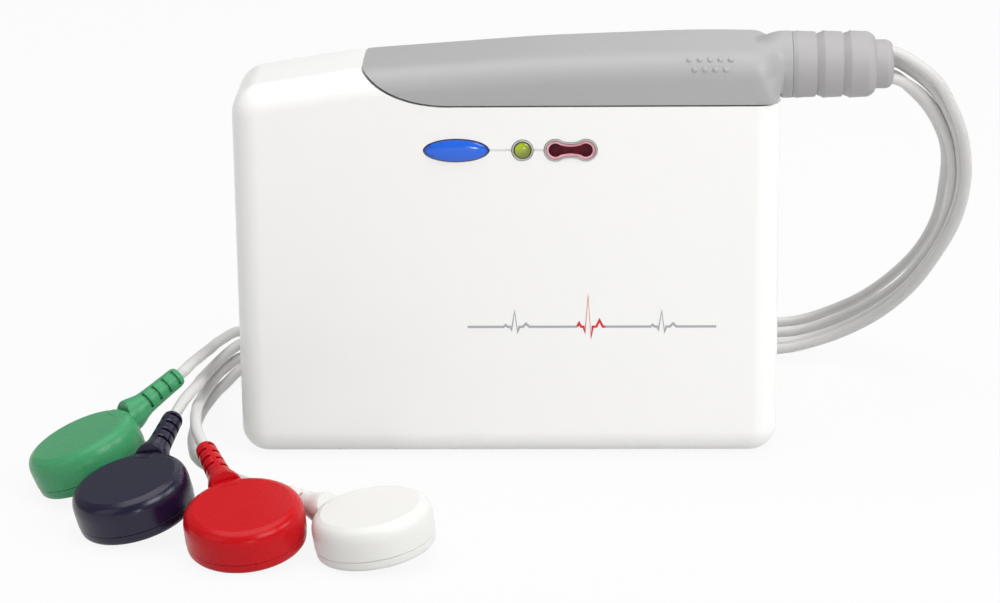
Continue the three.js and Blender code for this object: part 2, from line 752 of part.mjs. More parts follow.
const switchFrontY = boardFrontY - switchDepth;
const switchHeight = Math.min(switchBody, 2 * (boardTop - controlHeight));
const switchCase = centred(buttonX, controlHeight, switchBody, switchHeight, switchFrontY, boardFrontY);
const switchPin = along(switchPinTipY, switchFrontY + overlap, switchPinRadius, buttonX, controlHeight);
add('event_switch', toGeometry(toSolid(switchCase).add(switchPin)), finish(chipBlack, 0.5));
add('status_lamp', closed(lathe([
  [0, lampTipY], [lampRadius - lampRound, lampTipY], [lampRadius, lampTipY + lampRound],
  [lampRadius, boardFrontY], [0, boardFrontY],
], 'y', 16)), finish(new THREE.Color(0xd9dfc6), 0.2)).position.set(lensX, 0, controlHeight);

const infraredFrontY = boardFrontY - infraredDepth;
let infrared = toSolid(centred(windowX, controlHeight, infraredLength, infraredHeight, infraredFrontY,
  boardFrontY));
for (const side of [-1, 1]) {
  const eyeX = windowX + side * infraredLength / 4;
  infrared = infrared.add(along(infraredFrontY - infraredLensProud, infraredFrontY + overlap,
    infraredLensRadius, eyeX, controlHeight, 12));
}
add('infrared_module', toGeometry(infrared), finish(chipBlack, 0.3));

const chipRow = boardFoot + boardHeight / 2;
add('controller_chip', closed(centred(boardLeft + boardWidth * controllerPlace, chipRow,
  controllerSide, controllerSide, boardBackY, boardBackY + controllerThickness)), finish(chipBlack, 0.6));
add('memory_chip', closed(centred(boardLeft + boardWidth * memoryPlace, chipRow,
  memoryLength, memoryHeight, boardBackY, boardBackY + memoryThickness)), finish(chipBlack, 0.6));
add('amplifier_chip', closed(centred(boardLeft + boardWidth * amplifierPlace, chipRow,
  amplifierLength, amplifierHeight, boardBackY, boardBackY + amplifierThickness)), finish(chipBlack, 0.6));

// Socket in the floor of the bay: a block with a ledge under the floor, and sprung fingers on top
const socketTop = bayFloorHeight - fitGap;
const socketUpper = toSolid(box(stripLeft, stripRight, midY - stripHalf, midY + stripHalf, socketTop - wall - 1,
  socketTop));
const socketLower = toSolid(box(stripLeft - socketLedge, stripRight + socketLedge, midY - stripHalf - socketLedge,
  midY + stripHalf + socketLedge, bayFloorHeight - socketDepth - fitGap, bayFloorHeight - wall - fitGap));
add('socket_block', toGeometry(socketUpper.add(socketLower)), finish(chipBlack, 0.5));

const fingerPitch = (contactStripLength - 2) / fingerCount;
const combBack = 1.2;
const comb = new THREE.Shape();
const combLeft = stripLeft + 1 + (fingerPitch - fingerWidth) / 2;
const combRight = combLeft + fingerPitch * (fingerCount - 1) + fingerWidth;
const combNear = -fingerLength / 2;
const combFar = fingerLength / 2;
comb.moveTo(combLeft, combFar + combBack);
for (let k = 0; k < fingerCount; k += 1) {
  const x = combLeft + k * fingerPitch;
  comb.lineTo(x, k === 0 ? combNear : combFar);
  if (k > 0) comb.lineTo(x, combNear);
  comb.lineTo(x + fingerWidth, combNear);
  if (k < fingerCount - 1) comb.lineTo(x + fingerWidth, combFar);
}
comb.lineTo(combRight, combFar + combBack);
const fingers = new THREE.ExtrudeGeometry(comb, { depth: fingerThickness, bevelEnabled: false });
fingers.translate(0, midY - combBack / 2, socketTop);
add('socket_contacts', closed(fingers), finish(new THREE.Color(0xcaa85a), 0.3, 0.9));

// Plug

const plug = new THREE.Group();
model.add(plug);

const plugFoot = bayFloorHeight + fitGap;
const plugSide = toSolid(prism(baySide(fitGap, caseRight + crownSag, bayCorner - fitGap), faceY - pastDepth,
  backY + pastDepth, 10));
const neckCone = lathe([
  [0, caseRight - neckReach], [neckStartRadius, caseRight - neckReach], [reliefRadius, caseRight],
  [reliefRadius, neckEnd - neckBevel], [reliefRadius - neckBevel, neckEnd], [0, neckEnd],
], 'x', 24);
neckCone.translate(0, midY, cableHeight);
const underNeck = toSolid(box(caseLeft, caseRight + fitGap, faceY, backY, 0, plugFoot));
const plugCavity = toSolid(box(caseLeft + plugCavityPlace, caseRight - plugCavityEnd, faceY + plugWall,
  backY - plugWall, bayFloorHeight - 1, plugCavityHeight));

function cableBore(radius, x0, x1) {
  const geometry = lathe([[0, x0], [radius, x0], [radius, x1], [0, x1]], 'x', 20);
  geometry.translate(0, midY, cableHeight);
  return toSolid(geometry);
}

const boreFloorX = neckEnd + fitGap - spigotLength - 2 * fitGap;
let cover = wholeBody.intersect(plugSide).add(toSolid(neckCone).subtract(underNeck)).subtract(plugCavity);
cover = cover.subtract(cableBore(spigotRadius + fitGap, boreFloorX, neckEnd + 1));
cover = cover.subtract(cableBore(wireWayRadius, caseRight - plugCavityEnd - 1, boreFloorX + 1));

// Grip of small raised domes, two rows set half a pitch apart, on the face's rounded upper edge
const gripRows = [
  { count: 5, place: gripUpperPlace, height: crownHeight - gripUpperDrop },
  { count: 4, place: gripLowerPlace, height: crownHeight - gripLowerDrop },
];

// Point on the rounded upper front edge at a place along the case and a height
function faceEdge(x, height) {
  const top = crownHeight - crownSag;
  const up = Math.min(Math.max(height - (top - edgeRound), 0), edgeRound);
  const back = edgeRound - Math.sqrt(edgeRound ** 2 - up ** 2);
  const normal = new THREE.Vector3(0, -(edgeRound - back), up).normalize();
  return { place: new THREE.Vector3(x, faceY + back, height), normal };
}

for (const row of gripRows) {
  for (let k = 0; k < row.count; k += 1) {
    const { place, normal } = faceEdge(caseLeft + row.place + k * gripPitch, row.height);
    const dome = lathe([
      [0, -gripRoot], [gripRadius, -gripRoot], [gripRadius, 0],
      [gripRadius * gripShoulder, gripProud * gripShoulderRise], [0, gripProud],
    ], 'z', 8);
    dome.applyQuaternion(new THREE.Quaternion().setFromUnitVectors(new THREE.Vector3(0, 0, 1), normal));
    dome.translate(place.x, place.y, place.z);
    cover = cover.add(toSolid(dome));
  }
}
const plugFinish = finish(plugGrey, 0.45);
add('plug_cover', toGeometry(cover), plugFinish.clone(), plug);

const baseLeft = caseLeft + plugCavityPlace + fitGap;
const baseRight = caseRight - plugCavityEnd - fitGap;
const baseTop = plugFoot + plugBaseThickness;
let base = toSolid(box(baseLeft, baseRight, faceY + plugWall + fitGap, backY - plugWall - fitGap, plugFoot,
  baseTop));
const railNeckTop = plugFoot - railNeckHeight;
base = base.add(toSolid(box(railStart, railEnd, midY - railNeck / 2, midY + railNeck / 2, railNeckTop - overlap,
  plugFoot + overlap)));
base = base.add(toSolid(box(railStart, railEnd, midY - railHead / 2, midY + railHead / 2,
  railNeckTop - railHeadHeight, railNeckTop)));
base = base.subtract(toSolid(box(stripLeft - fitGap, stripRight + fitGap, midY - stripHalf - fitGap,
  midY + stripHalf + fitGap, plugFoot - 1, baseTop + 1)));
add('plug_base', toGeometry(base), plugFinish.clone(), plug);
add('plug_contacts', closed(box(stripLeft, stripRight, midY - stripHalf, midY + stripHalf, plugFoot, baseTop)),
  finish(chipBlack, 0.5), plug);
const plugBoardHalf = stripHalf + plugBoardMargin;
add('plug_board', closed(box(stripLeft - plugBoardMargin, stripRight + plugBoardMargin, midY - plugBoardHalf,
  midY + plugBoardHalf, baseTop, baseTop + plugBoardThickness)), finish(boardGreen, 0.55), plug);

// Strain relief: bands that taper to a groove each, a rounded end and the nose
const reliefStart = neckEnd + fitGap;
const spigotStart = reliefStart - spigotLength;
const reliefProfile = [[0, spigotStart], [spigotRadius, spigotStart], [spigotRadius, reliefStart]];
for (let k = 0; k < reliefBandCount; k += 1) {
  const x = reliefStart + k * reliefStep;
  const grooveStart = x + reliefStep - reliefGroove;
  reliefProfile.push([reliefRadius - reliefRound, x], [reliefRadius, x + reliefRound]);
  reliefProfile.push([reliefRadius - reliefTaper, grooveStart]);
  reliefProfile.push([reliefRadius - reliefGrooveDepth, grooveStart + grooveSlope]);
  reliefProfile.push([reliefRadius - reliefGrooveDepth, x + reliefStep - grooveSlope]);
}
const reliefEnd = reliefStart + reliefStep * reliefBandCount;
reliefProfile.push([reliefRadius - reliefTaper, reliefEnd]);
reliefProfile.push([reliefRadius - reliefEndBevel, reliefEnd + reliefEndBevel]);
reliefProfile.push([noseRadius, reliefEnd + reliefEndLength], [noseRadius, noseEnd - noseRound]);
reliefProfile.push([noseRadius - noseRound, noseEnd], [0, noseEnd]);
add('strain_relief', closed(lathe(reliefProfile, 'x', 24)), finish(reliefGrey, 0.5), plug)
  .position.set(0, midY, cableHeight);

// Snap heads: each lies on the table, leaning towards one side, with its bend relief turned to its lead

const heads = {
  green: { x: -81.9, y: -27.3, tilt: 22, lean: 5.5, heading: 35 },
  black: { x: -72, y: -46.1, tilt: 15, lean: 28.4, heading: 73.5 },
  red: { x: -52.6, y: -56.6, tilt: 11.1, lean: 69, heading: 112 },
  white: { x: -30.9, y: -57.7, tilt: 8.6, lean: 13.4, heading: 142.5 },
};
const degrees = Math.PI / 180;

function headGroup(place) {
  const leanTurn = new THREE.Quaternion().setFromAxisAngle(new THREE.Vector3(0, 0, 1), place.lean * degrees);
  const tiltTurn = new THREE.Quaternion().setFromAxisAngle(new THREE.Vector3(0, 1, 0), -place.tilt * degrees);
  const facing = (place.heading - place.lean) * degrees;
  const headingTurn = new THREE.Quaternion().setFromAxisAngle(new THREE.Vector3(0, 0, 1), facing);
  const group = new THREE.Group();
  group.quaternion.copy(leanTurn.multiply(tiltTurn).multiply(headingTurn));
  group.position.set(place.x, place.y, headBaseRadius * Math.sin(place.tilt * degrees));
  return group;
}

function headShell() {
  const rise = headHeight - headShoulderHeight;
  const run = headRadius - headTopRadius;
  const profile = [
    [0, headSeamHeight], [headRadius - headSeamBevel, headSeamHeight],
    [headRadius, headSeamHeight + headSeamBevel], [headRadius, headShoulderHeight],
  ];
  for (let k = 1; k <= arcSteps; k += 1) {
    const angle = (Math.PI / 2) * (k / arcSteps);
    profile.push([headTopRadius + run * Math.cos(angle), headShoulderHeight + rise * Math.sin(angle)]);
  }
  profile.push([0, headHeight]);
  const boot = lathe([
    [0, bootStartReach], [bootStartRadius, bootStartReach], [bootNeckRadius, bootNeckReach - bootNeckLength],
    [bootNeckRadius, bootNeckReach - bootNeckBevel], [bootRootRadius, bootNeckReach],
    [bootTipRadius, bootReach - bootEndBevel], [bootTipRadius - bootEndBevel, bootReach], [0, bootReach],
  ], 'x', 10);
  boot.rotateY(-bootPitch * degrees);
  boot.translate(0, 0, bootHeight);
  const underside = toSolid(box(-2 * bootReach, 2 * bootReach, -headRadius, headRadius, -headHeight,
    headSeamHeight));
  return toSolid(lathe(profile, 'z', 22)).add(toSolid(boot)).subtract(underside);
}

const headBaseProfile = [
  [socketBoreRadius, 0], [headBaseRadius, 0], [headRadius - headUndercut, headUndercut],
  [headRadius - headSeamBevel, headSeamHeight - fitGap], [socketBoreRadius, headSeamHeight - fitGap],
  [socketBoreRadius, 0],
];
const snapRingProfile = [
  [snapHoleRadius, snapRingFoot], [snapRingRadius, snapRingFoot], [snapRingRadius, headSeamHeight - fitGap],
  [snapHoleRadius, headSeamHeight - fitGap], [snapHoleRadius, snapRingFoot],
];

// Routes of the leads behind the case, between the straight bits at the nose and at the bend relief
const routes = {
  green: [
    [62, 4.4, 63.4], [64.7, 6.4, 60.2], [67.3, 9.8, 55.6], [69.2, 13.9, 50], [69.8, 21.4, 41.1],
    [69.3, 29.4, 32], [66.9, 37.7, 23.4], [62.8, 44.3, 16.3], [57.8, 51, 10], [51.9, 57.1, 5],
    [46.6, 59.2, 2.5], [42.4, 59.9, 1.7], [10, 62, 1.1], [-22, 61, 1.1], [-37.8, 60.6, 1.1],
    [-49.2, 57.9, 1.7], [-58.3, 52.4, 3.1], [-63.8, 44.9, 5], [-65.6, 37, 6.3], [-66.1, 29.7, 7.9],
    [-66, 21.9, 9.9], [-65.3, 13, 12.6], [-65.4, 7, 14], [-65.6, 0.5, 15.5], [-65.9, -5.5, 16.7],
    [-66.4, -10.5, 17.5],
  ],
  black: [
    [62.3, 1.5, 64.2], [65.2, 3.9, 60.9], [67.8, 7, 56.2], [69.8, 10.4, 50.6], [71, 16.5, 41.8],
    [70.2, 23.8, 32.7], [67.6, 31.7, 23.9], [63.6, 39.1, 16.1], [58.2, 45.6, 9.9], [52, 51.1, 4.9],
    [46.5, 53.2, 2.4], [42.1, 53.5, 1.7], [10, 55.5, 1.1], [-22, 54.5, 1.1], [-38.7, 54.5, 1.4],
    [-48.9, 52, 2.3], [-57.1, 47, 3.4], [-62.2, 40, 4.4], [-64.3, 33.2, 4.9], [-65.5, 26, 5.5],
    [-66.2, 17.8, 6.7], [-66.3, 8.7, 8.6], [-65.8, -1, 11.3], [-65.2, -12.1, 14.1],
    [-65.6, -16.9, 14.7], [-66.6, -21.4, 14.5],
  ],
  red: [
    [62.7, 2.1, 66.7], [65.7, 3, 63.7], [68.6, 5.1, 59], [70.8, 7.7, 53.3], [72.1, 12.6, 44.3],
    [71.2, 18.8, 35], [68.5, 25.8, 25.9], [64.6, 33.8, 17.2], [59, 40.4, 10.2], [52.4, 45.6, 4.9],
    [46.5, 47.4, 2.4], [41.8, 47.2, 1.6], [10, 49, 1.1], [-25, 48, 1.1], [-41.1, 48.4, 1.2],
    [-50.7, 46.5, 1.7], [-58, 42.4, 2], [-62.6, 37.1, 2.3], [-64.6, 31.4, 2.5], [-65.6, 24.7, 3.3],
    [-66.2, 16.8, 4.1], [-66.4, 8.3, 5.4], [-66.1, -0.9, 7.2], [-65.4, -10.9, 10], [-64.3, -22.7, 13.1],
    [-63.9, -28, 13.6], [-63.2, -32.9, 13.1],
  ],
  white: [
    [62.7, -0.3, 69], [66, 0.3, 66], [68.7, 2, 61.2], [71, 4.3, 55.4], [72.5, 9.1, 46.2],
    [71.7, 14.8, 36.7], [68.8, 21.3, 27.6], [64.8, 28.9, 18.6], [59.2, 35.2, 11.3], [52.4, 40.1, 5.9],
    [46.3, 42.2, 3.1], [41.5, 42.9, 1.9], [10, 43, 1.2], [-25, 42, 1.2], [-41.3, 42.1, 1.9],
    [-49.7, 40.2, 2.4], [-56.6, 36.6, 2.5], [-61.7, 31.3, 2.1], [-64.3, 25.3, 1.2], [-65.5, 20.9, 1.1],
    [-66.4, 14.8, 1.3], [-66.9, 6.4, 2.2], [-66.8, -2.9, 3.3], [-66.4, -11.8, 4.3], [-65.5, -19.6, 5],
    [-64.2, -26.1, 5.5], [-61.7, -31.6, 6], [-58.8, -35.9, 6.3], [-55.5, -39.5, 6.5],
    [-53.3, -41.5, 6.5],
  ],
};
const exits = { white: [-1, 1], red: [1, redLeadLevel], black: [-1, -1], green: [1, -1] };

for (const [name, place] of Object.entries(heads)) {
  const colour = new THREE.Color(headColours[name]);
  const group = headGroup(place);
  plug.add(group);
  add(`${name}_snap_head`, toGeometry(headShell()), finish(colour, 0.35), group);
  add(`${name}_snap_base`, closed(lathe(headBaseProfile, 'z', 22)), finish(colour, 0.4), group);
  add(`${name}_snap_socket`, closed(lathe(snapRingProfile, 'z', 14)), finish(steel, 0.25, 1), group);

  group.updateMatrixWorld();
  const outward = new THREE.Vector3(Math.cos(bootPitch * degrees), 0, Math.sin(bootPitch * degrees));
  outward.applyQuaternion(group.quaternion);
  const root = new THREE.Vector3(0, 0, bootHeight).applyMatrix4(group.matrixWorld);
  const [side, level] = exits[name];
  const exitY = midY + side * leadSpreadAcross / 2;
  const exitZ = cableHeight + level * leadSpreadUp / 2;
  const points = [fitGap, leadStart].map((reach) => new THREE.Vector3(noseEnd + reach, exitY, exitZ));
  for (const point of routes[name]) points.push(new THREE.Vector3(...point));
  points.push(root.clone().addScaledVector(outward, bootReach + leadStart));
  points.push(root.clone().addScaledVector(outward, bootReach + fitGap));
  const route = new THREE.CatmullRomCurve3(points, false, 'centripetal');
  const steps = Math.min(leadMostSteps, Math.round(route.getLength() / leadStep));
  const ring = ringShape(leadRadius, leadSides);
  const tube = new THREE.ExtrudeGeometry(ring, { steps, extrudePath: route, bevelEnabled: false });
  add(`${name}_lead`, closed(tube), finish(leadGrey, 0.5), plug);
}

export default model;
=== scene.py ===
"""Pocket heart recorder (holter monitor) with its plug-in cable of four snap leads.

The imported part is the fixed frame. Sizes are in millimetres while a piece is shaped, and each
finished piece is in metres in the frame's own place: +Z up, the face towards -Y, the cable to +X.
"""

import math

import bmesh
import bpy
from bpy.props import FloatProperty, FloatVectorProperty, PointerProperty
from mathutils import Matrix, Vector


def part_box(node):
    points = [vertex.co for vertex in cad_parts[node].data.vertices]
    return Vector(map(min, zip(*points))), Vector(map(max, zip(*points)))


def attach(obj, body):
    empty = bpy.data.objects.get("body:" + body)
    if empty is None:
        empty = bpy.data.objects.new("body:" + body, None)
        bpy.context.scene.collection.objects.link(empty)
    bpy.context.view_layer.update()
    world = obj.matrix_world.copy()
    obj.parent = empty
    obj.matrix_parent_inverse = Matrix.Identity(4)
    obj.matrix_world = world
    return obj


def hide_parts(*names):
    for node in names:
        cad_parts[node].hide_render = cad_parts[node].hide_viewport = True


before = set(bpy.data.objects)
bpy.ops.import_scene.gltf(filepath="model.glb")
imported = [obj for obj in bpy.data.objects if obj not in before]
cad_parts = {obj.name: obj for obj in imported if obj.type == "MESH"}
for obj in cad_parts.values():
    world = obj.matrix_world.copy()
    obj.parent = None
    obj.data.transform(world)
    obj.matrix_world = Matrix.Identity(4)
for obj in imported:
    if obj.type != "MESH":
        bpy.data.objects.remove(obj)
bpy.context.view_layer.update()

bl_info = {
    "name": "Pocket heart recorder",
    "version": (1, 0, 0),
    "blender": (4, 5, 0),
    "location": "3D View > Sidebar > Recorder",
    "description": "Builds the recorder's case, plug, leads and snap heads around the packed part",
    "category": "Object",
}

MM = 0.001


def place(node):
    """Lowest and highest corner of a CAD node, in millimetres."""
    low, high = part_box(node)
    return low / MM, high / MM


def tone(code):
    """A colour written as 0xRRGGBB, as the linear colour that a socket takes."""
    parts = [(code >> shift & 255) / 255 for shift in (16, 8, 0)]
    return [c / 12.92 if c <= 0.04045 else ((c + 0.055) / 1.055) ** 2.4 for c in parts] + [1.0]


# Case, in millimetres

FRONT_LOW, FRONT_HIGH = place("front_shell")
REAR_LOW, REAR_HIGH = place("rear_shell")
LEFT = FRONT_LOW.x
RIGHT = FRONT_HIGH.x
FACE_Y = FRONT_LOW.y
BACK_Y = REAR_HIGH.y
SPLIT_Y = REAR_LOW.y
MID_Y = (FACE_Y + BACK_Y) / 2
WALL = 2.0
INNER_FACE_Y = FACE_Y + WALL
INNER_BACK_Y = BACK_Y - WALL

# Gaps between pieces, and how far a cutting block goes past the case

FIT_GAP = 0.3
KEY_GAP = 0.12
OPENING_GAP = 0.1
CUT_MARGIN = 5.0

# Outline of the case with its plug: the X, Z and rounding of each corner

CASE_RIM = 4.6
CROWN = 73.9
CROWN_SAG = 0.05
FOOT_ROUND = 4.8
TOP_ROUND = 5.2
SLIGHT_ROUND = 200.0
SHOULDER_ROUND = 100.0
OUTLINE = [
    (LEFT, 0.0, FOOT_ROUND),
    (RIGHT, 0.0, FOOT_ROUND),
    (RIGHT, CROWN - 0.3, None),
    (LEFT + 82.0, CROWN, SLIGHT_ROUND),
    (LEFT + 54.0, CROWN - 1.0, SLIGHT_ROUND),
    (LEFT + 21.5, CROWN - 3.3, SHOULDER_ROUND),
    (LEFT, CROWN - 6.7, TOP_ROUND),
]
BAY_FLOOR = CROWN - 9.3
BAY_TIP = (LEFT + 22.1, CROWN - 2.7)
BAY_CURVE_X = LEFT + 28.0
BAY_FLOOR_X = LEFT + 38.0
FLOOR_BLOCK_DEPTH = 5.0
ROOM_TOP = BAY_FLOOR - WALL

# Screw posts, the board's standoffs, and the slot for the plug's T-shaped rail

POST_INSET = 5.6
POSTS = [(LEFT + POST_INSET, 8.0), (RIGHT - POST_INSET, 8.0),
         (RIGHT - POST_INSET, BAY_FLOOR - 7.0), (LEFT + POST_INSET, BAY_FLOOR - 7.0)]
POST_RADIUS = 3.2
STANDOFFS = [(x, z) for x in (LEFT + 13.5, RIGHT - 13.5) for z in (28.5, 51.2)]
STANDOFF_RADIUS = 2.0
STANDOFF_END = FACE_Y + 6.7
SCREW_HEAD = 1.5
SCREW_SUNK = 0.8
SCREW_SEAT_Y = BACK_Y - SCREW_SUNK - SCREW_HEAD
SCREW_LENGTH = 13.0
SCREW_HEAD_RADIUS = 2.3
SCREW_BORE_RADIUS = 1.4
RAIL_LEFT = LEFT + 68.0
RAIL_LENGTH = 14.0
PLUG_TRAVEL = 5.0
RAIL_STEM_DEPTH = 1.9
RAIL_HEAD_DEPTH = 1.5
RAIL_STEM_HALF = 1.5
RAIL_HEAD_HALF = 3.0

# Controls on the face

CONTROL_Z = 56.9
BUTTON_X = LEFT + 39.4
BUTTON_LENGTH = 11.4
BUTTON_HEIGHT = 4.0
LENS_X = LEFT + 50.95
LENS_RADIUS = 1.45
RING_RADIUS = 1.85
WINDOW_X = LEFT + 59.35
WINDOW_LENGTH = 9.2
WINDOW_LOBE = 1.95
WINDOW_WAIST = 1.35
GROOVE_WIDTH = 0.4
LENS_DOME = 0.45
RING_DOME = 0.25
RIM_RISE = 0.2
RIM_WIDTH = 0.25
PANE_EDGE = 0.38
PANE_DEPTH = 0.12
KEY_FLANGE = 0.8
KEY_STEM_RADIUS = 1.6

# Plug, neck and strain relief

CABLE_Z = CROWN - 4.65
NECK_END = RIGHT + 2.2
RELIEF_START = NECK_END + FIT_GAP
PLUG_BLEND = 4.5
PLUG_WALL = 2.2
BORE_RADIUS = 3.3
BORE_DEPTH = 5.2
RELIEF_RADIUS = 5.9
BAND_STEP = 4.65
BAND_WIDTH = 3.2
NOSE_RADIUS = 4.3
NOSE_ROUND = 1.4
NOSE_END = place("strain_relief")[1].x

# Rows of grip domes: how many, how far from the case's left side the first one is, and their height

GRIP_ROWS = [(5, 79.9, CROWN - 1.25), (4, 80.8, CROWN - 2.75)]
GRIP_STEP = 1.8
GRIP_RISE = 0.22

# Snap heads: place on the table, then tilt, the side it leans to, and the lead's heading, in degrees

HEADS = {
    "green": (-81.9, -27.3, 22.0, 5.5, 35.0),
    "black": (-72.0, -46.1, 15.0, 28.4, 73.5),
    "red": (-52.6, -56.6, 11.1, 69.0, 112.0),
    "white": (-30.9, -57.7, 8.6, 13.4, 142.5),
}
HEAD_RADIUS = 10.0
HEAD_HEIGHT = 7.5
HEAD_SEAM = 2.0
HEAD_BASE_RADIUS = 9.0
SHELL_RADIUS = HEAD_RADIUS + 0.2
BOOT_HEIGHT = 4.0
BOOT_PITCH = math.radians(8)
BOOT_REACH = 22.0
BOOT_SLOTS = 7
SLOT_START = 14.1
SLOT_STEP = 1.1
SLOT_WEB = 0.35

# How far a lead goes straight on from its boot, and how deep its ends sit in the nose and the boot

LEAD_START = 1.2
LEAD_ROOT = 1.2
LEAD_TIP_ROOT = 1.5

# Where each lead leaves the nose: across, and up or down from the cable's axis

EXITS = {"white": (-1.15, 2.4), "red": (1.15, 0.24), "black": (-1.15, -2.4), "green": (1.15, -2.4)}

# Each lead's course from the nose to its head

ROUTES = {
    "green": [
        (62, 4.4, 63.4), (64.7, 6.4, 60.2), (67.3, 9.8, 55.6), (69.2, 13.9, 50), (69.8, 21.4, 41.1),
        (69.3, 29.4, 32), (66.9, 37.7, 23.4), (62.8, 44.3, 16.3), (57.8, 51, 10), (51.9, 57.1, 5),
        (46.6, 59.2, 2.5), (42.4, 59.9, 1.7), (10, 62, 1.1), (-22, 61, 1.1), (-37.8, 60.6, 1.1),
        (-49.2, 57.9, 1.7), (-58.3, 52.4, 3.1), (-63.8, 44.9, 5), (-65.6, 37, 6.3), (-66.1, 29.7, 7.9),
        (-66, 21.9, 9.9), (-65.3, 13, 12.6), (-65.4, 7, 14), (-65.6, 0.5, 15.5), (-65.9, -5.5, 16.7),
        (-66.4, -10.5, 17.5),
    ],
    "black": [
        (62.3, 1.5, 64.2), (65.2, 3.9, 60.9), (67.8, 7, 56.2), (69.8, 10.4, 50.6), (71, 16.5, 41.8),
        (70.2, 23.8, 32.7), (67.6, 31.7, 23.9), (63.6, 39.1, 16.1), (58.2, 45.6, 9.9), (52, 51.1, 4.9),
        (46.5, 53.2, 2.4), (42.1, 53.5, 1.7), (10, 55.5, 1.1), (-22, 54.5, 1.1), (-38.7, 54.5, 1.4),
        (-48.9, 52, 2.3), (-57.1, 47, 3.4), (-62.2, 40, 4.4), (-64.3, 33.2, 4.9), (-65.5, 26, 5.5),
        (-66.2, 17.8, 6.7), (-66.3, 8.7, 8.6), (-65.8, -1, 11.3), (-65.2, -12.1, 14.1),
        (-65.6, -16.9, 14.7), (-66.6, -21.4, 14.5),
    ],
    "red": [
        (62.7, 2.1, 66.7), (65.7, 3, 63.7), (68.6, 5.1, 59), (70.8, 7.7, 53.3), (72.1, 12.6, 44.3),
        (71.2, 18.8, 35), (68.5, 25.8, 25.9), (64.6, 33.8, 17.2), (59, 40.4, 10.2), (52.4, 45.6, 4.9),
        (46.5, 47.4, 2.4), (41.8, 47.2, 1.6), (10, 49, 1.1), (-25, 48, 1.1), (-41.1, 48.4, 1.2),
        (-50.7, 46.5, 1.7), (-58, 42.4, 2), (-62.6, 37.1, 2.3), (-64.6, 31.4, 2.5), (-65.6, 24.7, 3.3),
        (-66.2, 16.8, 4.1), (-66.4, 8.3, 5.4), (-66.1, -0.9, 7.2), (-65.4, -10.9, 10),
        (-64.3, -22.7, 13.1), (-63.9, -28, 13.6), (-63.2, -32.9, 13.1),
    ],
    "white": [
        (62.7, -0.3, 69), (66, 0.3, 66), (68.7, 2, 61.2), (71, 4.3, 55.4), (72.5, 9.1, 46.2),
        (71.7, 14.8, 36.7), (68.8, 21.3, 27.6), (64.8, 28.9, 18.6), (59.2, 35.2, 11.3),
        (52.4, 40.1, 5.9), (46.3, 42.2, 3.1), (41.5, 42.9, 1.9), (10, 43, 1.2), (-25, 42, 1.2),
        (-41.3, 42.1, 1.9), (-49.7, 40.2, 2.4), (-56.6, 36.6, 2.5), (-61.7, 31.3, 2.1),
        (-64.3, 25.3, 1.2), (-65.5, 20.9, 1.1), (-66.4, 14.8, 1.3), (-66.9, 6.4, 2.2),
        (-66.8, -2.9, 3.3), (-66.4, -11.8, 4.3), (-65.5, -19.6, 5), (-64.2, -26.1, 5.5),
        (-61.7, -31.6, 6), (-58.8, -35.9, 6.3), (-55.5, -39.5, 6.5), (-53.3, -41.5, 6.5),
    ],
}

# Printed pulse trace, and the points of one beat, across and up from its middle

TRACE_Z = 24.5
TRACE_THICKNESS = 0.02
BEAT = [(-1.6, 0), (-1.25, 0.55), (-0.9, 0), (-0.45, 0), (-0.2, -0.8), (0.35, 4.6), (0.85, -1.6),
        (1.15, 0), (1.8, 0), (2.35, 0.95), (2.95, 0), (3.4, 0)]

# Camera: target in millimetres, angles in degrees, distance in metres

TARGET = Vector((-11.46, -1.56, 26.12)) * MM
CAMERA_AZIMUTH = 1.5
CAMERA_ELEVATION = 18.0
CAMERA_ROLL = 0.6
CAMERA_DISTANCE = 0.62
CAMERA_LENS = 124.28
CAMERA_SENSOR = 36.0

# Studio: each lamp's place and size in metres, and its power in watts

LAMPS = [
    ("key", (0.5, -0.62, 0.62), 0.5, 4.75),
    ("fill", (-0.85, -0.6, 0.45), 0.7, 1.25),
    ("glint", (0.09, -0.7, 0.06), 0.06, 0.24),
    ("top", (-0.1, 0.0, 0.95), 0.9, 5.6),
    ("side", (0.85, -0.12, 0.6), 0.35, 2.4),
    ("rear", (0.3, 0.9, 0.6), 0.8, 1.2),
]
WORLD_LEVEL = 0.355
FLOOR_GLOW = 0.9
FLOOR_SIZE = 6.0
FLOOR_DROP = 0.0001


# Shader maths

def maths(operation, swapped=False):
    """A method of Wire that adds a Math node for its socket and the values that go with it."""
    def method(wire, *others):
        values = (*others, wire) if swapped else (wire, *others)
        return wire.nodes.node("Math", {"operation": operation}, dict(enumerate(values)))
    return method


class Wire:
    """A shader socket that adds Math nodes when it is used in an expression."""

    def __init__(self, nodes, socket):
        self.nodes = nodes
        self.socket = socket

    __add__ = __radd__ = maths("ADD")
    __sub__ = maths("SUBTRACT")
    __rsub__ = maths("SUBTRACT", swapped=True)
    __mul__ = __rmul__ = maths("MULTIPLY")
    __truediv__ = maths("DIVIDE")
    __rtruediv__ = maths("DIVIDE", swapped=True)
    most = maths("MAXIMUM")
    root = maths("SQRT")
    repeat = maths("PINGPONG")

    def rise(self, low, high):
        """0 below low, 1 above high and a soft step between them."""
        return self.nodes.node("MapRange", {"interpolation_type": "SMOOTHSTEP"},
                               {"Value": self, "From Min": low, "From Max": high})


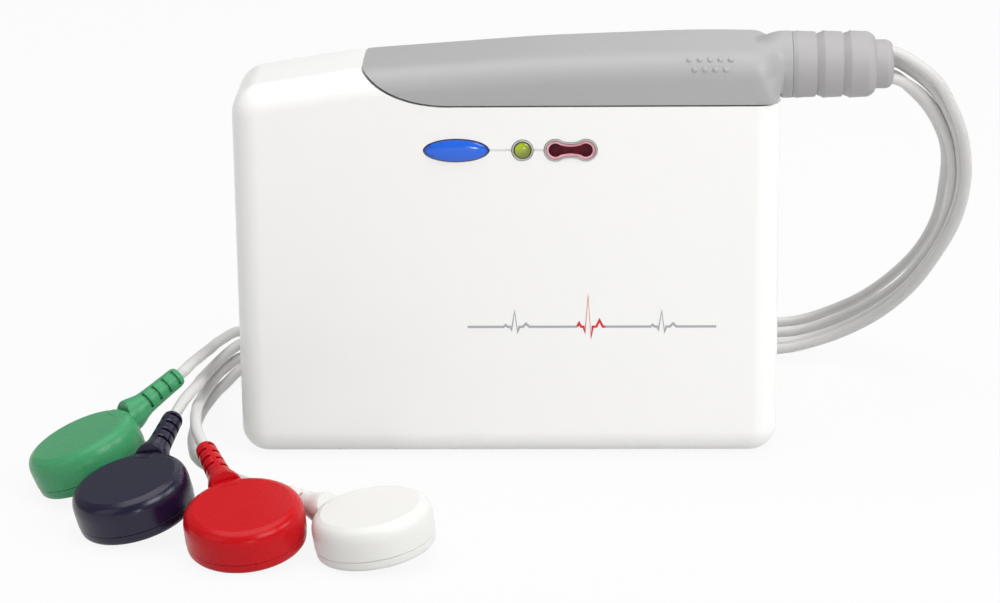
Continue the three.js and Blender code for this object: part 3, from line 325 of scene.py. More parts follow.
class Nodes:
    """The node tree of a material or a world, which grows one node at a time."""

    def __init__(self, owner):
        owner.use_nodes = True
        self.tree = owner.node_tree
        self.tree.nodes.clear()

    def node(self, kind, settings=None, sockets=None, output=0):
        """Adds a node: its settings first, then the values or links of its sockets."""
        node = self.tree.nodes.new("ShaderNode" + kind)
        for key, value in (settings or {}).items():
            setattr(node, key, value)
        for key, value in (sockets or {}).items():
            if isinstance(value, Wire):
                self.tree.links.new(value.socket, node.inputs[key])
            else:
                node.inputs[key].default_value = value
        return Wire(self, node.outputs[output]) if node.outputs else None


class Paint(Nodes):
    """A material and the node patterns that the finishes share."""

    def __init__(self, name):
        self.material = bpy.data.materials.new(name)
        super().__init__(self.material)

    def where(self):
        """Object coordinates, in metres."""
        return self.node("TexCoord", output="Object")

    def parts(self):
        """X, Y and Z of the object coordinates."""
        where = self.where()
        return [self.node("SeparateXYZ", sockets={0: where}, output=k) for k in range(3)]

    def noise(self, scale, detail, stretch=None):
        """Noise on the piece's own coordinates, drawn out where it is given a stretch."""
        vector = self.where()
        if stretch:
            vector = self.node("Mapping", sockets={"Vector": vector, "Scale": stretch})
        return self.node("TexNoise", sockets={"Vector": vector, "Scale": scale, "Detail": detail})

    def mix(self, factor, first, second):
        """Two colours mixed. 6 and 7 are the Mix node's sockets for colours, and 2 is its output for one."""
        return self.node("Mix", {"data_type": "RGBA"}, {0: factor, 6: first, 7: second}, output=2)

    def shade(self, factor, colour):
        """A colour darkened by a factor that changes over the surface."""
        grey = self.node("CombineColor", sockets={0: factor, 1: factor, 2: factor})
        return self.node("Mix", {"data_type": "RGBA", "blend_type": "MULTIPLY"},
                         {0: 1.0, 6: colour, 7: grey}, output=2)

    def bump(self, height, strength, distance=0.0001):
        """Fine relief, with its distance in metres."""
        return self.node("Bump", sockets={"Strength": strength, "Distance": distance, "Height": height})

    def done(self, colour, roughness, normal, **sockets):
        """Ends the material with its shader, and gives it back."""
        values = {"Base Color": colour, "Roughness": roughness, "Normal": normal}
        values.update({key.replace("_", " "): value for key, value in sockets.items()})
        shader = self.node("BsdfPrincipled", sockets=values)
        self.node("OutputMaterial", sockets={"Surface": shader})
        return self.material


def moulded(name, colour, roughness, grain, relief, cloud, patches=None, coat=0.0, shine=0.5):
    """Injection-moulded plastic: a fine grain, an uneven polish, and faint clouding and patches."""
    paint = Paint(name)
    fine = paint.noise(grain, 4.0)
    broad = paint.noise(38.0, 2.0)
    flow = paint.noise(210.0, 3.0)
    clouding = 1.0 - cloud * (1.0 - broad) - cloud * 0.5 * flow
    tint = paint.mix(broad, colour, patches) if patches else colour
    polish = (fine - 0.5) * 0.10 + (flow - 0.5) * 0.10 + roughness
    height = fine * 0.7 + flow * 0.3
    return paint.done(paint.shade(clouding, tint), polish, paint.bump(height, relief),
                      Coat_Weight=coat, Coat_Roughness=0.12, Specular_IOR_Level=shine)


def metal(name, colour, roughness):
    """Plated or drawn metal with fine draw marks and a little dulling."""
    paint = Paint(name)
    marks = paint.noise(900.0, 4.0, stretch=(1.0, 1.0, 14.0))
    dull = paint.noise(160.0, 3.0)
    tint = paint.shade(0.86 + 0.14 * dull, colour)
    return paint.done(tint, roughness + (marks - 0.5) * 0.25 + (dull - 0.5) * 0.2,
                      paint.bump(marks, 0.08, 0.00005), Metallic=1.0)


def cable_skin(name, colour):
    """Soft extruded cable jacket: satin, with faint streaks and handling marks."""
    paint = Paint(name)
    streak = paint.noise(420.0, 3.0, stretch=(0.25, 0.25, 0.25))
    fine = paint.noise(3000.0, 3.0)
    clouding = 0.95 + 0.05 * streak
    polish = 0.42 + (streak - 0.5) * 0.18 + (fine - 0.5) * 0.08
    return paint.done(paint.shade(clouding, colour), polish, paint.bump(fine * 0.6 + streak * 0.4, 0.05),
                      Coat_Weight=0.08, Coat_Roughness=0.3)


def from_middle(x, z, middle, half_length, half_height):
    """A point of the face from a control's middle: across, up, and as a share of its outline."""
    across = (x - middle * MM) / (half_length * MM)
    up = (z - CONTROL_Z * MM) / (half_height * MM)
    return across, up, (across * across + up * up).root()


def button_finish(colour, rim):
    """Glossy oval key, with painted shade: its colour darkens to the rim colour towards the rim, and on the
    sides sunk behind the face.
    """
    paint = Paint("button_blue")
    x, y, z = paint.parts()
    _, _, reach = from_middle(x, z, BUTTON_X, BUTTON_LENGTH / 2, BUTTON_HEIGHT / 2)
    fine = paint.noise(2600.0, 3.0)
    # Painted shade: the rim colour darkens the key's edge.
    tint = paint.mix(reach.rise(0.87, 1.0), colour, rim)
    # Painted shade: the key's sides sunk behind the face take the rim colour.
    painted_recess_shade = y.rise((FACE_Y - 0.1) * MM, (FACE_Y + 0.5) * MM)
    return paint.done(paint.mix(painted_recess_shade, tint, rim), 0.16 + (fine - 0.5) * 0.06,
                      paint.bump(fine, 0.03), Coat_Weight=0.5, Coat_Roughness=0.12,
                      Specular_IOR_Level=0.35)


def lens_finish(colour, core):
    """Tinted light pipe in a lit and a shaded colour: painted light makes it paler towards the upper left,
    with a cloudy mottle, and painted shade takes it to the shaded colour at its rim.
    """
    paint = Paint("lens_green")
    x, y, z = paint.parts()
    across, up, reach = from_middle(x, z, LENS_X, LENS_RADIUS, LENS_RADIUS)
    cloud = paint.noise(1500.0, 3.0)
    # Painted light: paler towards the upper left, broken up by a cloudy mottle.
    painted_light_side = (0.35 * up - 0.35 * across + 0.5 * cloud).rise(-0.1, 0.75)
    tint = paint.mix(painted_light_side, core, colour)
    # Painted shade at the lens's rim.
    tint = paint.mix(reach.rise(0.78, 1.0), tint, core)
    return paint.done(tint, 0.14 + cloud * 0.06, paint.bump(cloud, 0.04),
                      Coat_Weight=0.5, Coat_Roughness=0.05, Subsurface_Weight=0.1)


def window_finish(name, colour, spot):
    """Dark filter pane with a faint inner mottle."""
    paint = Paint(name)
    cloud = paint.noise(700.0, 4.0)
    fine = paint.noise(2600.0, 3.0)
    return paint.done(paint.mix(cloud.rise(0.35, 0.7), colour, spot), 0.12 + fine * 0.08,
                      paint.bump(fine, 0.03), Specular_IOR_Level=0.12)


def board_finish(colour, track, pad):
    """Solder mask over copper tracks, with tinned pads."""
    paint = Paint("board_green")
    x, y, z = paint.parts()
    wander = paint.noise(55.0, 2.0)
    row = (z + wander * 0.006).repeat(0.0011)
    column = (x + wander * 0.008).repeat(0.0016)
    tracks = (1.0 - row.rise(0.0002, 0.00028)).most(1.0 - column.rise(0.0002, 0.00028))
    patch = paint.noise(30.0, 1.0).rise(0.46, 0.5)
    cells = paint.node("TexVoronoi", {"feature": "F1"}, {"Vector": paint.where(), "Scale": 240.0})
    pads = 1.0 - cells.rise(0.16, 0.2)
    fine = paint.noise(2200.0, 3.0)
    tint = paint.mix(tracks * patch, colour, track)
    tint = paint.mix(pads, tint, pad)
    return paint.done(tint, 0.38 + fine * 0.12 - pads * 0.1,
                      paint.bump(tracks * patch * 0.6 + pads * 0.4, 0.25, 0.00008), Metallic=pads * 0.8)


def cell_finish(body, band, ends):
    """Printed sleeve of a plain AA cell: dark barrel, copper band and bare steel ends."""
    paint = Paint("cell_sleeve")
    low, high = place("battery")
    x, y, z = paint.parts()
    mid_y, mid_z = (low.y + high.y) / 2 * MM, (low.z + high.z) / 2 * MM
    radius = ((y - mid_y) * (y - mid_y) + (z - mid_z) * (z - mid_z)).root()
    fine = paint.noise(1800.0, 3.0)
    banded = x.rise((high.x - 14.0) * MM, (high.x - 13.9) * MM)
    bare = (1.0 - radius.rise(0.0064, 0.0066)).most(x.rise((high.x - 1.5) * MM, (high.x - 1.4) * MM))
    tint = paint.mix(banded, body, band)
    tint = paint.mix(bare, paint.shade(0.92 + fine * 0.08, tint), ends)
    return paint.done(tint, 0.26 + fine * 0.1, paint.bump(fine, 0.04), Metallic=0.35 + bare * 0.6)


# Shaping tools: a shape is in millimetres until it is a finished piece

def drawn_out(bm, faces, depth):
    """Draws faces out along Y, and closes the shape."""
    grown = bmesh.ops.extrude_face_region(bm, geom=faces)["geom"]
    verts = [v for v in grown if isinstance(v, bmesh.types.BMVert)]
    bmesh.ops.translate(bm, verts=verts, vec=(0, depth, 0))
    bmesh.ops.recalc_face_normals(bm, faces=bm.faces)
    return bm


def prism(points, y0, y1):
    """A shape drawn in X and Z, drawn out between two depths."""
    bm = bmesh.new()
    face = bm.faces.new([bm.verts.new((x, y0, z)) for x, z in points])
    return drawn_out(bm, [face], y1 - y0)


def block(low, high):
    """A box between two corners."""
    bm = bmesh.new()
    bmesh.ops.create_cube(bm, size=1.0)
    low, high = Vector(low), Vector(high)
    bmesh.ops.scale(bm, vec=high - low, verts=bm.verts)
    bmesh.ops.translate(bm, vec=(low + high) / 2, verts=bm.verts)
    return bm


def spun(profile, axis, steps, at=(0, 0, 0)):
    """A turned solid from (radius, place along the axis) pairs."""
    bm = bmesh.new()
    verts = [bm.verts.new((radius, 0, along)) for radius, along in profile]
    edges = [bm.edges.new(pair) for pair in zip(verts, verts[1:])]
    bmesh.ops.spin(bm, geom=verts + edges, cent=(0, 0, 0), axis=(0, 0, 1), dvec=(0, 0, 0),
                   angle=math.tau, steps=steps, use_merge=True, use_duplicate=False)
    bmesh.ops.remove_doubles(bm, verts=bm.verts, dist=1e-4)
    turn = {"X": Matrix.Rotation(math.pi / 2, 4, "Y"), "Y": Matrix.Rotation(-math.pi / 2, 4, "X")}
    if axis in turn:
        moved(bm, turn[axis])
    bmesh.ops.translate(bm, vec=at, verts=bm.verts)
    bmesh.ops.recalc_face_normals(bm, faces=bm.faces)
    return bm


def moved(bm, matrix):
    """The shape, moved and turned by a matrix."""
    bmesh.ops.transform(bm, matrix=matrix, verts=bm.verts)
    return bm


def soften(bm, edges, width, segments):
    """Rounds edges over."""
    bmesh.ops.bevel(bm, geom=edges, offset=width, offset_type="OFFSET", segments=segments, profile=0.5,
                    affect="EDGES", material=-1, clamp_overlap=True)


def mesh_of(bm, name):
    """A mesh that takes a shape over."""
    mesh = bpy.data.meshes.new(name)
    bm.to_mesh(mesh)
    bm.free()
    return mesh


def placed(name, data):
    """A new object in the scene."""
    obj = bpy.data.objects.new(name, data)
    bpy.context.scene.collection.objects.link(obj)
    return obj


def together(*parts):
    """Several loose shapes as one."""
    whole = bmesh.new()
    for part in parts:
        mesh = mesh_of(part, "part")
        whole.from_mesh(mesh)
        bpy.data.meshes.remove(mesh)
    return whole


def worked(bm):
    """A working object, still in millimetres."""
    return placed("work", mesh_of(bm, "work"))


def dropped(obj):
    """Removes a working object and its mesh."""
    mesh = obj.data
    bpy.data.objects.remove(obj)
    bpy.data.meshes.remove(mesh)


def settle(obj):
    """Makes the object's modifiers part of its mesh."""
    bpy.context.view_layer.update()
    mesh = bpy.data.meshes.new_from_object(obj.evaluated_get(bpy.context.evaluated_depsgraph_get()))
    old = obj.data
    obj.modifiers.clear()
    obj.data = mesh
    bpy.data.meshes.remove(old)
    return obj


def carve(obj, *tools, operation="DIFFERENCE"):
    """Cuts, joins or meets the working object with each tool in turn."""
    for tool in tools:
        other = worked(tool)
        modifier = obj.modifiers.new("carve", "BOOLEAN")
        modifier.operation = operation
        modifier.solver = "EXACT"
        modifier.object = other
        settle(obj)
        dropped(other)
    return obj


def eased(obj, width, angle=40.0, segments=2):
    """Breaks the sharp edges of a working object."""
    weld = obj.modifiers.new("weld", "WELD")
    weld.merge_threshold = 0.002
    bevel = obj.modifiers.new("ease", "BEVEL")
    bevel.width = width
    bevel.segments = segments
    bevel.limit_method = "ANGLE"
    bevel.angle_limit = math.radians(angle)
    bevel.use_clamp_overlap = True
    bevel.harden_normals = False
    return settle(obj)


def shape_of(obj):
    """The working object's shape as a bmesh, and the object is gone."""
    bm = bmesh.new()
    bm.from_mesh(obj.data)
    dropped(obj)
    return bm


def piece(name, bm, materials, body, stands_for=None, crease=38.0, turned=None):
    """A finished piece in metres that rides on its body and stands for its CAD node."""
    if turned:
        moved(bm, turned)
    bmesh.ops.scale(bm, vec=(MM, MM, MM), verts=bm.verts)
    mesh = mesh_of(bm, name)
    for material in materials:
        mesh.materials.append(material)
    mesh.shade_smooth()
    mesh.set_sharp_from_angle(angle=math.radians(crease))
    obj = placed(name, mesh)
    even = obj.modifiers.new("even_shading", "WEIGHTED_NORMAL")
    even.keep_sharp = True
    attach(obj, body)
    if stands_for:
        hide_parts(stands_for)
    return obj


def dress(node, material):
    """A CAD node that stays keeps its shape and takes a finish."""
    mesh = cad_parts[node].data
    mesh.materials.clear()
    mesh.materials.append(material)


# Shapes of the case and plug

def arc(centre, radius, first, last, steps):
    """Points along part of a circle."""
    return [(centre[0] + radius * math.cos(first + a), centre[1] + radius * math.sin(first + a))
            for a in sweep(last - first, steps)]


def sweep(last, steps):
    """Even angles from 0 to the last one."""
    return [last * k / steps for k in range(steps + 1)]


def bend(controls, steps):
    """Points of a curve from the first control point to the last, drawn towards those between."""
    order = len(controls) - 1
    points = []
    for k in range(steps + 1):
        t = k / steps
        shares = [math.comb(order, i) * t ** i * (1 - t) ** (order - i) for i in range(order + 1)]
        points.append(tuple(sum(share * value for share, value in zip(shares, axis))
                            for axis in zip(*controls)))
    return points


def pillow(corners, y0, y1, rim, segments=8):
    """A slab drawn by its corners in X and Z, with each corner rounded and both rims rounded over."""
    bm = prism([(x, z) for x, z, _ in corners], y0, y1)

    def upright(x, z):
        """The edge that runs along Y at a corner."""
        return [e for e in bm.edges
                if all(abs(v.co.x - x) < 1e-3 and abs(v.co.z - z) < 1e-3 for v in e.verts)]

    count = len(corners)
    for i, (x, z, radius) in enumerate(corners):
        if radius is None:
            continue
        before, after = corners[i - 1], corners[(i + 1) % count]
        into = Vector((x - before[0], z - before[1])).normalized()
        out = Vector((after[0] - x, after[1] - z)).normalized()
        turn = into.angle(out)
        soften(bm, upright(x, z), radius * math.tan(turn / 2), 8 if turn > 0.5 else 6)
    rims = [e for y in (y0, y1) for e in bm.edges if all(abs(v.co.y - y) < 1e-4 for v in e.verts)]
    for x, z, radius in corners:
        if radius is None:
            rims += upright(x, z)
    soften(bm, rims, rim, segments)
    return bm


def bay_side(gap, right, corner):
    """The region above the bay's floor and its curved tip, moved in by a gap."""
    beyond = 20.0
    tip = (BAY_TIP[0] + gap, BAY_TIP[1] + gap)
    floor = BAY_FLOOR + gap
    curve = (BAY_CURVE_X + gap, floor)
    slope = (tip[0] - curve[0]) / (tip[1] - floor)
    points = [(tip[0] + slope * beyond, tip[1] + beyond)]
    points += bend([tip, curve, (BAY_FLOOR_X + gap, floor)], 24)
    if corner:
        points += bend([(right - corner, floor), (right, floor), (right, floor + corner)], 8)
    else:
        points.append((right, floor))
    points.append((right, tip[1] + beyond))
    return prism(points, FACE_Y - CUT_MARGIN, BACK_Y + CUT_MARGIN)


def oval(x, z, width, height, steps=14):
    """An oval with slightly drawn-out ends."""
    reach = width / 2
    bulge = height / 2
    end, rise, flank = reach * 0.985, bulge * 0.56, reach * 0.56
    points = []
    for quarter in [
        ((-reach, 0), (-end, -rise), (-flank, -bulge), (0, -bulge)),
        ((0, -bulge), (flank, -bulge), (end, -rise), (reach, 0)),
        ((reach, 0), (end, rise), (flank, bulge), (0, bulge)),
        ((0, bulge), (-flank, bulge), (-end, rise), (-reach, 0)),
    ]:
        points += bend(quarter, steps)[:-1]
    return [(x + across, z + up) for across, up in points]


def dumbbell(margin):
    """The window's two round lobes and the waist that joins them, drawn in or out by a margin."""
    x, z = WINDOW_X, CONTROL_Z
    lobe = WINDOW_LOBE + margin
    waist = WINDOW_WAIST + margin
    lobe_place = WINDOW_LENGTH / 2 - WINDOW_LOBE
    open_angle = 0.9
    edge_x = lobe_place - lobe * math.sin(math.pi / 2 - open_angle)
    edge_z = lobe * math.cos(math.pi / 2 - open_angle)
    points = bend([(x - edge_x, z - edge_z), (x, z - 2 * waist + edge_z), (x + edge_x, z - edge_z)], 12)
    points += arc((x + lobe_place, z), lobe, -math.pi + open_angle, math.pi - open_angle, 28)[1:]
    points += bend([(x + edge_x, z + edge_z), (x, z + 2 * waist - edge_z), (x - edge_x, z + edge_z)], 12)[1:]
    points += arc((x - lobe_place, z), lobe, open_angle, 2 * math.pi - open_angle, 28)[1:-1]
    return points


def body_pillow():
    """The whole body with its plug, as one soft slab."""
    return pillow(OUTLINE, FACE_Y, BACK_Y, CASE_RIM)


def tray_room():
    """Lowest and highest corner, in X and Z, of the battery's opening in the back."""
    low, high = place("battery_door")
    return (low.x - FIT_GAP, low.z - FIT_GAP), (high.x + FIT_GAP, high.z + FIT_GAP)


def rod(low, high, radius):
    """The profile of a plain round rod."""
    return [(0, low), (radius, low), (radius, high), (0, high)]


def rods(places, y0, y1, radius):
    """Round rods along Y at places in X and Z."""
    return together(*[spun(rod(y0, y1, radius), "Y", 32, (x, 0, z)) for x, z in places])


def face_openings():
    """What is cut into the face: the openings for key, lens and window, and the line that joins them."""
    cut = (FACE_Y - 1, INNER_FACE_Y + 1)
    openings = together(
        prism(oval(BUTTON_X, CONTROL_Z, BUTTON_LENGTH + 2 * KEY_GAP, BUTTON_HEIGHT + 2 * KEY_GAP), *cut),
        spun(rod(*cut, RING_RADIUS + OPENING_GAP), "Y", 40, (LENS_X, 0, CONTROL_Z)),
        prism(dumbbell(OPENING_GAP), *cut),
    )
    half = GROOVE_WIDTH / 2
    spans = [(BUTTON_X + 5.5, LENS_X - RING_RADIUS + 0.2), (LENS_X + RING_RADIUS - 0.2, WINDOW_X - 4.2)]
    grooves = together(*[block((x0, FACE_Y - 1, CONTROL_Z - half), (x1, FACE_Y + 0.3, CONTROL_Z + half))
                         for x0, x1 in spans])
    return openings, grooves


def rail_slots():
    """What is cut into the bay's floor: the plug rail's T-shaped slot, and the hole for the contacts."""
    left = RAIL_LEFT - FIT_GAP
    right = RAIL_LEFT + RAIL_LENGTH + PLUG_TRAVEL + FIT_GAP
    head_top = BAY_FLOOR + FIT_GAP - RAIL_STEM_DEPTH + FIT_GAP
    bottom = head_top - FIT_GAP - RAIL_HEAD_DEPTH - FIT_GAP
    stem, head = (block((left, MID_Y - half - FIT_GAP, bottom), (right, MID_Y + half + FIT_GAP, top))
                  for half, top in ((RAIL_STEM_HALF, BAY_FLOOR + 1), (RAIL_HEAD_HALF, head_top)))
    low, high = place("plug_contacts")
    contacts = block((low.x - FIT_GAP, low.y - FIT_GAP, ROOM_TOP - 1),
                     (high.x + FIT_GAP, high.y + FIT_GAP, BAY_FLOOR + 1))
    return stem, head, contacts


def whole_case():
    """Both shells as one hollow body, with its posts, floor block, bay and openings."""
    room = pillow([
        (LEFT + WALL, WALL, FOOT_ROUND - WALL), (RIGHT - WALL, WALL, FOOT_ROUND - WALL),
        (RIGHT - WALL, ROOM_TOP, 1.0), (LEFT + WALL, ROOM_TOP, 1.0),
    ], INNER_FACE_Y, INNER_BACK_Y, 0.9, 3)
    case = worked(body_pillow())
    carve(case, bay_side(0.0, RIGHT + 30.0, 0.0), room)
    floor_left = RAIL_LEFT - FIT_GAP - WALL
    floor_block = block((floor_left, MID_Y - RAIL_HEAD_HALF - WALL, BAY_FLOOR - FLOOR_BLOCK_DEPTH),
                        (RIGHT - WALL / 2, MID_Y + RAIL_HEAD_HALF + WALL, BAY_FLOOR - WALL / 2))
    carve(case, floor_block, rods(POSTS, INNER_FACE_Y - 0.5, INNER_BACK_Y + 0.5, POST_RADIUS),
          rods(STANDOFFS, INNER_FACE_Y - 0.5, STANDOFF_END, STANDOFF_RADIUS), operation="UNION")
    carve(case, *rail_slots(),
          rods(POSTS, SCREW_SEAT_Y - SCREW_LENGTH - FIT_GAP, BACK_Y, SCREW_BORE_RADIUS),
          rods(POSTS, SCREW_SEAT_Y - FIT_GAP, BACK_Y + 1, SCREW_HEAD_RADIUS + FIT_GAP))
    (x0, z0), (x1, z1) = tray_room()
    return carve(case, *face_openings(), block((x0, INNER_BACK_Y - 1, z0), (x1, BACK_Y + 1, z1)))


# The add-on's sizes and colours

def length(name, description, default):
    """A size in metres that a user may change."""
    return FloatProperty(name=name, description=description, default=default, min=0.0, max=0.1,
                         unit="LENGTH", precision=5)


def colour(name, description, code):
    """A colour that a user may change."""
    return FloatVectorProperty(name=name, description=description, default=tone(code), size=4,
                               min=0.0, max=1.0, subtype="COLOR")


class RecorderSizes(bpy.types.PropertyGroup):
    """Sizes of the fine shapes"""
    seam_ease: length("Seam easing", "Width of the broken edge along the case's seams and openings", 0.00016)
    dome: length("Key dome", "How far the event key stands over the face", 0.0008)
    lead: length("Lead diameter", "Diameter of each lead", 0.002)
    slot: length("Boot slot", "Width of the cross slots in each bend relief", 0.00055)
    grip: length("Grip dome", "Radius of the small raised grip domes", 0.0005)
    trace: length("Trace width", "Width of the printed pulse trace", 0.00042)


class RecorderColours(bpy.types.PropertyGroup):
    """Colours of the pieces"""
    shell: colour("Case", "Case shells and battery door", 0xF1F1EF)
    inner: colour("Tray", "Battery tray inside the case", 0xDCDDD9)
    plug: colour("Plug", "Cable plug on top of the case", 0xA4A4A4)
    relief: colour("Strain relief", "Ribbed sleeve and nose of the cable", 0xA4A2A2)
    lead: colour("Leads", "Jacket of the four leads", 0xCCCBC9)
    key: colour("Event key", "Oval key on the face", 0x1260D8)
    # Painted shade at the key's edge.
    key_edge_shade: colour("Event key rim", "Deeper colour at the key's edge", 0x12256E)
    # Lit and shaded copies of the lens colour, for painted light and shade.
    lens: colour("Status lens", "Lit side of the status lens", 0xB6C41C)
    lens_shade: colour("Status lens core", "Deep side of the status lens", 0x727A14)
    ring: colour("Status ring", "Ring round the status lens and window", 0xB6B6B5)
    window: colour("Window", "Infrared window's core", 0x3C0716)
    window_spot: colour("Window mottle", "Lighter mottle in the window", 0x581020)
    window_edge: colour("Window edge", "Pale edge of the window", 0xDFA6AF)
    board: colour("Board", "Solder mask", 0x1B5C3C)
    green: colour("Green head", "Green snap head", 0x409563)
    black: colour("Black head", "Black snap head", 0x110D2A)
    red: colour("Red head", "Red snap head", 0xBA0510)
    white: colour("White head", "White snap head", 0xDEDEDB)
    ink: colour("Trace ink", "Printed pulse trace", 0xA7A9AD)
    ink_peak: colour("Trace peak ink", "Tall beat of the pulse trace", 0xD21F2B)


FINISHES = {}


def finishes():
    """Every finish, made once."""
    if FINISHES:
        return FINISHES
    c = bpy.context.scene.recorder_colours
    FINISHES.update({
        "button_blue": button_finish(c.key, c.key_edge_shade),
        "lens_green": lens_finish(c.lens, c.lens_shade),
        "window_red": window_finish("window_red", c.window, c.window_spot),
        "rim_pink": window_finish("rim_pink", c.window_edge, tone(0xD0909B)),
        "lead_grey": cable_skin("lead_grey", c.lead),
        "board_green": board_finish(c.board, tone(0x2E8A5C), tone(0xC9CBC6)),
        "cell_sleeve": cell_finish(tone(0x24272E), tone(0xB9773C), tone(0xC6C8CA)),
        "steel": metal("steel", tone(0xC3C5C8), 0.3),
        "contact_gold": metal("contact_gold", tone(0xD9B25F), 0.26),
    })
    # Name, colour, roughness, grain, relief and clouding, then patches, coat and shine where they matter
    for name, *look in [
        ("shell_white", c.shell, 0.34, 2600.0, 0.04, 0.02, tone(0xF1F0EE), 0.15),
        ("inner_white", c.inner, 0.55, 1400.0, 0.10, 0.05),
        ("plug_grey", c.plug, 0.46, 1800.0, 0.10, 0.03, tone(0xA6A5A6)),
        ("relief_grey", c.relief, 0.5, 1500.0, 0.12, 0.05, tone(0xA7A5A6)),
        ("bezel_grey", c.ring, 0.38, 2400.0, 0.06, 0.06),
        ("chip_black", tone(0x1D1D20), 0.58, 1600.0, 0.15, 0.12),
        ("lamp_clear", tone(0xD9DFC6), 0.15, 2400.0, 0.03, 0.05),
        ("head_green", c.green, 0.28, 2000.0, 0.06, 0.06, tone(0x469B69), 0.0, 0.22),
        ("head_black", c.black, 0.26, 2000.0, 0.06, 0.08, tone(0x15112F), 0.0, 0.4),
        ("head_red", c.red, 0.26, 2000.0, 0.06, 0.05, tone(0xC00814), 0.0, 0.2),
        ("head_white", c.white, 0.33, 2000.0, 0.05, 0.03, tone(0xDDDCD9), 0.0, 0.3),
        ("ink_grey", c.ink, 0.5, 3000.0, 0.04, 0.06),
        ("ink_red", c.ink_peak, 0.5, 3000.0, 0.04, 0.06),
    ]:
        FINISHES[name] = moulded(name, *look)
    return FINISHES


class Maker(bpy.types.Operator):
    """Shared start of the piece operators"""
    bl_idname = "recorder.maker"
    bl_label = "Recorder maker"

    def execute(self, context):
        self.sizes = context.scene.recorder_sizes
        self.finish = finishes()
        self.make(context)
        return {"FINISHED"}

    def add(self, name, bm, slot, body, stands_for, crease=38.0, turned=None):
        """A piece whose finish goes by its slot's name."""
        return piece(name, bm, [self.finish[slot]], body, stands_for, crease, turned)


# Stage

class RECORDER_OT_stage(bpy.types.Operator):
    """Camera, pale floor and soft studio light"""
    bl_idname = "recorder.stage"
    bl_label = "Stage"

    def execute(self, context):
        scene = context.scene
        scene.view_settings.view_transform = "Standard"
        self.camera(scene)
        self.floor()
        self.world(scene)
        self.lamps()
        return {"FINISHED"}

    def camera(self, scene):
        """The photograph's viewpoint."""
        across, rise, roll = (math.radians(a) for a in (CAMERA_AZIMUTH, CAMERA_ELEVATION, CAMERA_ROLL))
        level = math.cos(rise)
        back = Vector((math.sin(across) * level, -math.cos(across) * level, math.sin(rise)))
        side = Vector((0, 0, 1)).cross(back).normalized()
        up = back.cross(side)
        turned_side = side * math.cos(roll) - up * math.sin(roll)
        turned_up = up * math.cos(roll) + side * math.sin(roll)
        camera = bpy.data.cameras.new("camera")
        camera.lens = CAMERA_LENS
        camera.sensor_width = CAMERA_SENSOR
        camera.clip_start = 0.01
        camera.clip_end = 20.0
        holder = placed("camera", camera)
        turn = Matrix((turned_side, turned_up, back)).transposed().to_4x4()
        holder.matrix_world = Matrix.Translation(TARGET + back * CAMERA_DISTANCE) @ turn
        scene.camera = holder

    def floor(self):
        """A wide pale floor that the camera sees as nearly white."""
        bm = bmesh.new()
        bmesh.ops.create_grid(bm, x_segments=2, y_segments=2, size=FLOOR_SIZE)
        floor = placed("floor", mesh_of(moved(bm, Matrix.Translation((0, 0, -FLOOR_DROP))), "floor"))
        paint = Paint("floor_white")
        grain = paint.noise(140.0, 2.0)
        seen = paint.node("LightPath", output="Is Camera Ray")
        gloss = paint.node("LightPath", output="Is Glossy Ray")
        pale = paint.shade(0.985 + 0.015 * grain, tone(0xD2D2D2))
        plain = paint.node("BsdfDiffuse", sockets={"Color": pale})
        glow = paint.node("Emission", sockets={"Color": (1, 1, 1, 1), "Strength": 1.0})
        shown = paint.node("MixShader", sockets={0: seen.most(gloss) * FLOOR_GLOW, 1: plain, 2: glow})
        paint.node("OutputMaterial", sockets={"Surface": shown})
        floor.data.materials.append(paint.material)

    def world(self, scene):
        """White round the part, and dimmer where it lights the part."""
        world = bpy.data.worlds.new("studio")
        scene.world = world
        sky = Nodes(world)
        seen = sky.node("LightPath", output="Is Camera Ray")
        clear = sky.node("LightPath", output="Is Transmission Ray")
        # Sockets 2 and 3 are the two numbers that the Mix node mixes
        strength = sky.node("Mix", sockets={0: seen.most(clear), 2: WORLD_LEVEL, 3: 1.0})
        background = sky.node("Background", sockets={"Color": (1, 1, 1, 1), "Strength": strength})
        sky.node("OutputWorld", sockets={"Surface": background})

    def lamps(self):
        """Square lamps that face the part."""
        for name, where, size, power in LAMPS:
            light = bpy.data.lights.new(name, "AREA")
            light.shape = "SQUARE"
            light.size = size
            light.energy = power
            lamp = placed(name, light)
            lamp.location = where
            lamp.rotation_euler = (TARGET - Vector(where)).to_track_quat("-Z", "Y").to_euler()


# Leads

def head_matrix(name):
    """A snap head's own place and turn, in millimetres."""
    x, y, tilt, lean, heading = HEADS[name]
    tilt, lean, heading = math.radians(tilt), math.radians(lean), math.radians(heading)
    turn = Matrix.Rotation(-tilt, 4, "Y") @ Matrix.Rotation(heading - lean, 4, "Z")
    place_at = Matrix.Translation((x, y, HEAD_BASE_RADIUS * math.sin(tilt)))
    return place_at @ Matrix.Rotation(lean, 4, "Z") @ turn


def through(points, steps=8):
    """A smooth curve through points, evenly parted in time by the root of their distances."""
    points = [Vector(p) for p in points]
    points = [2 * points[0] - points[1]] + points + [2 * points[-1] - points[-2]]
    curve = []
    for a, b, c, d in zip(points, points[1:], points[2:], points[3:]):
        t0, t1, t2 = ((q - p).length ** 0.5 for p, q in ((a, b), (b, c), (c, d)))
        leave = ((b - a) / t0 - (c - a) / (t0 + t1) + (c - b) / t1) * t1
        reach = ((c - b) / t1 - (d - b) / (t1 + t2) + (d - c) / t2) * t1
        for k in range(steps):
            t = k / steps
            curve.append(b + leave * t + (3 * (c - b) - 2 * leave - reach) * t ** 2
                         + (2 * (b - c) + leave + reach) * t ** 3)
    curve.append(points[-2])
    return curve


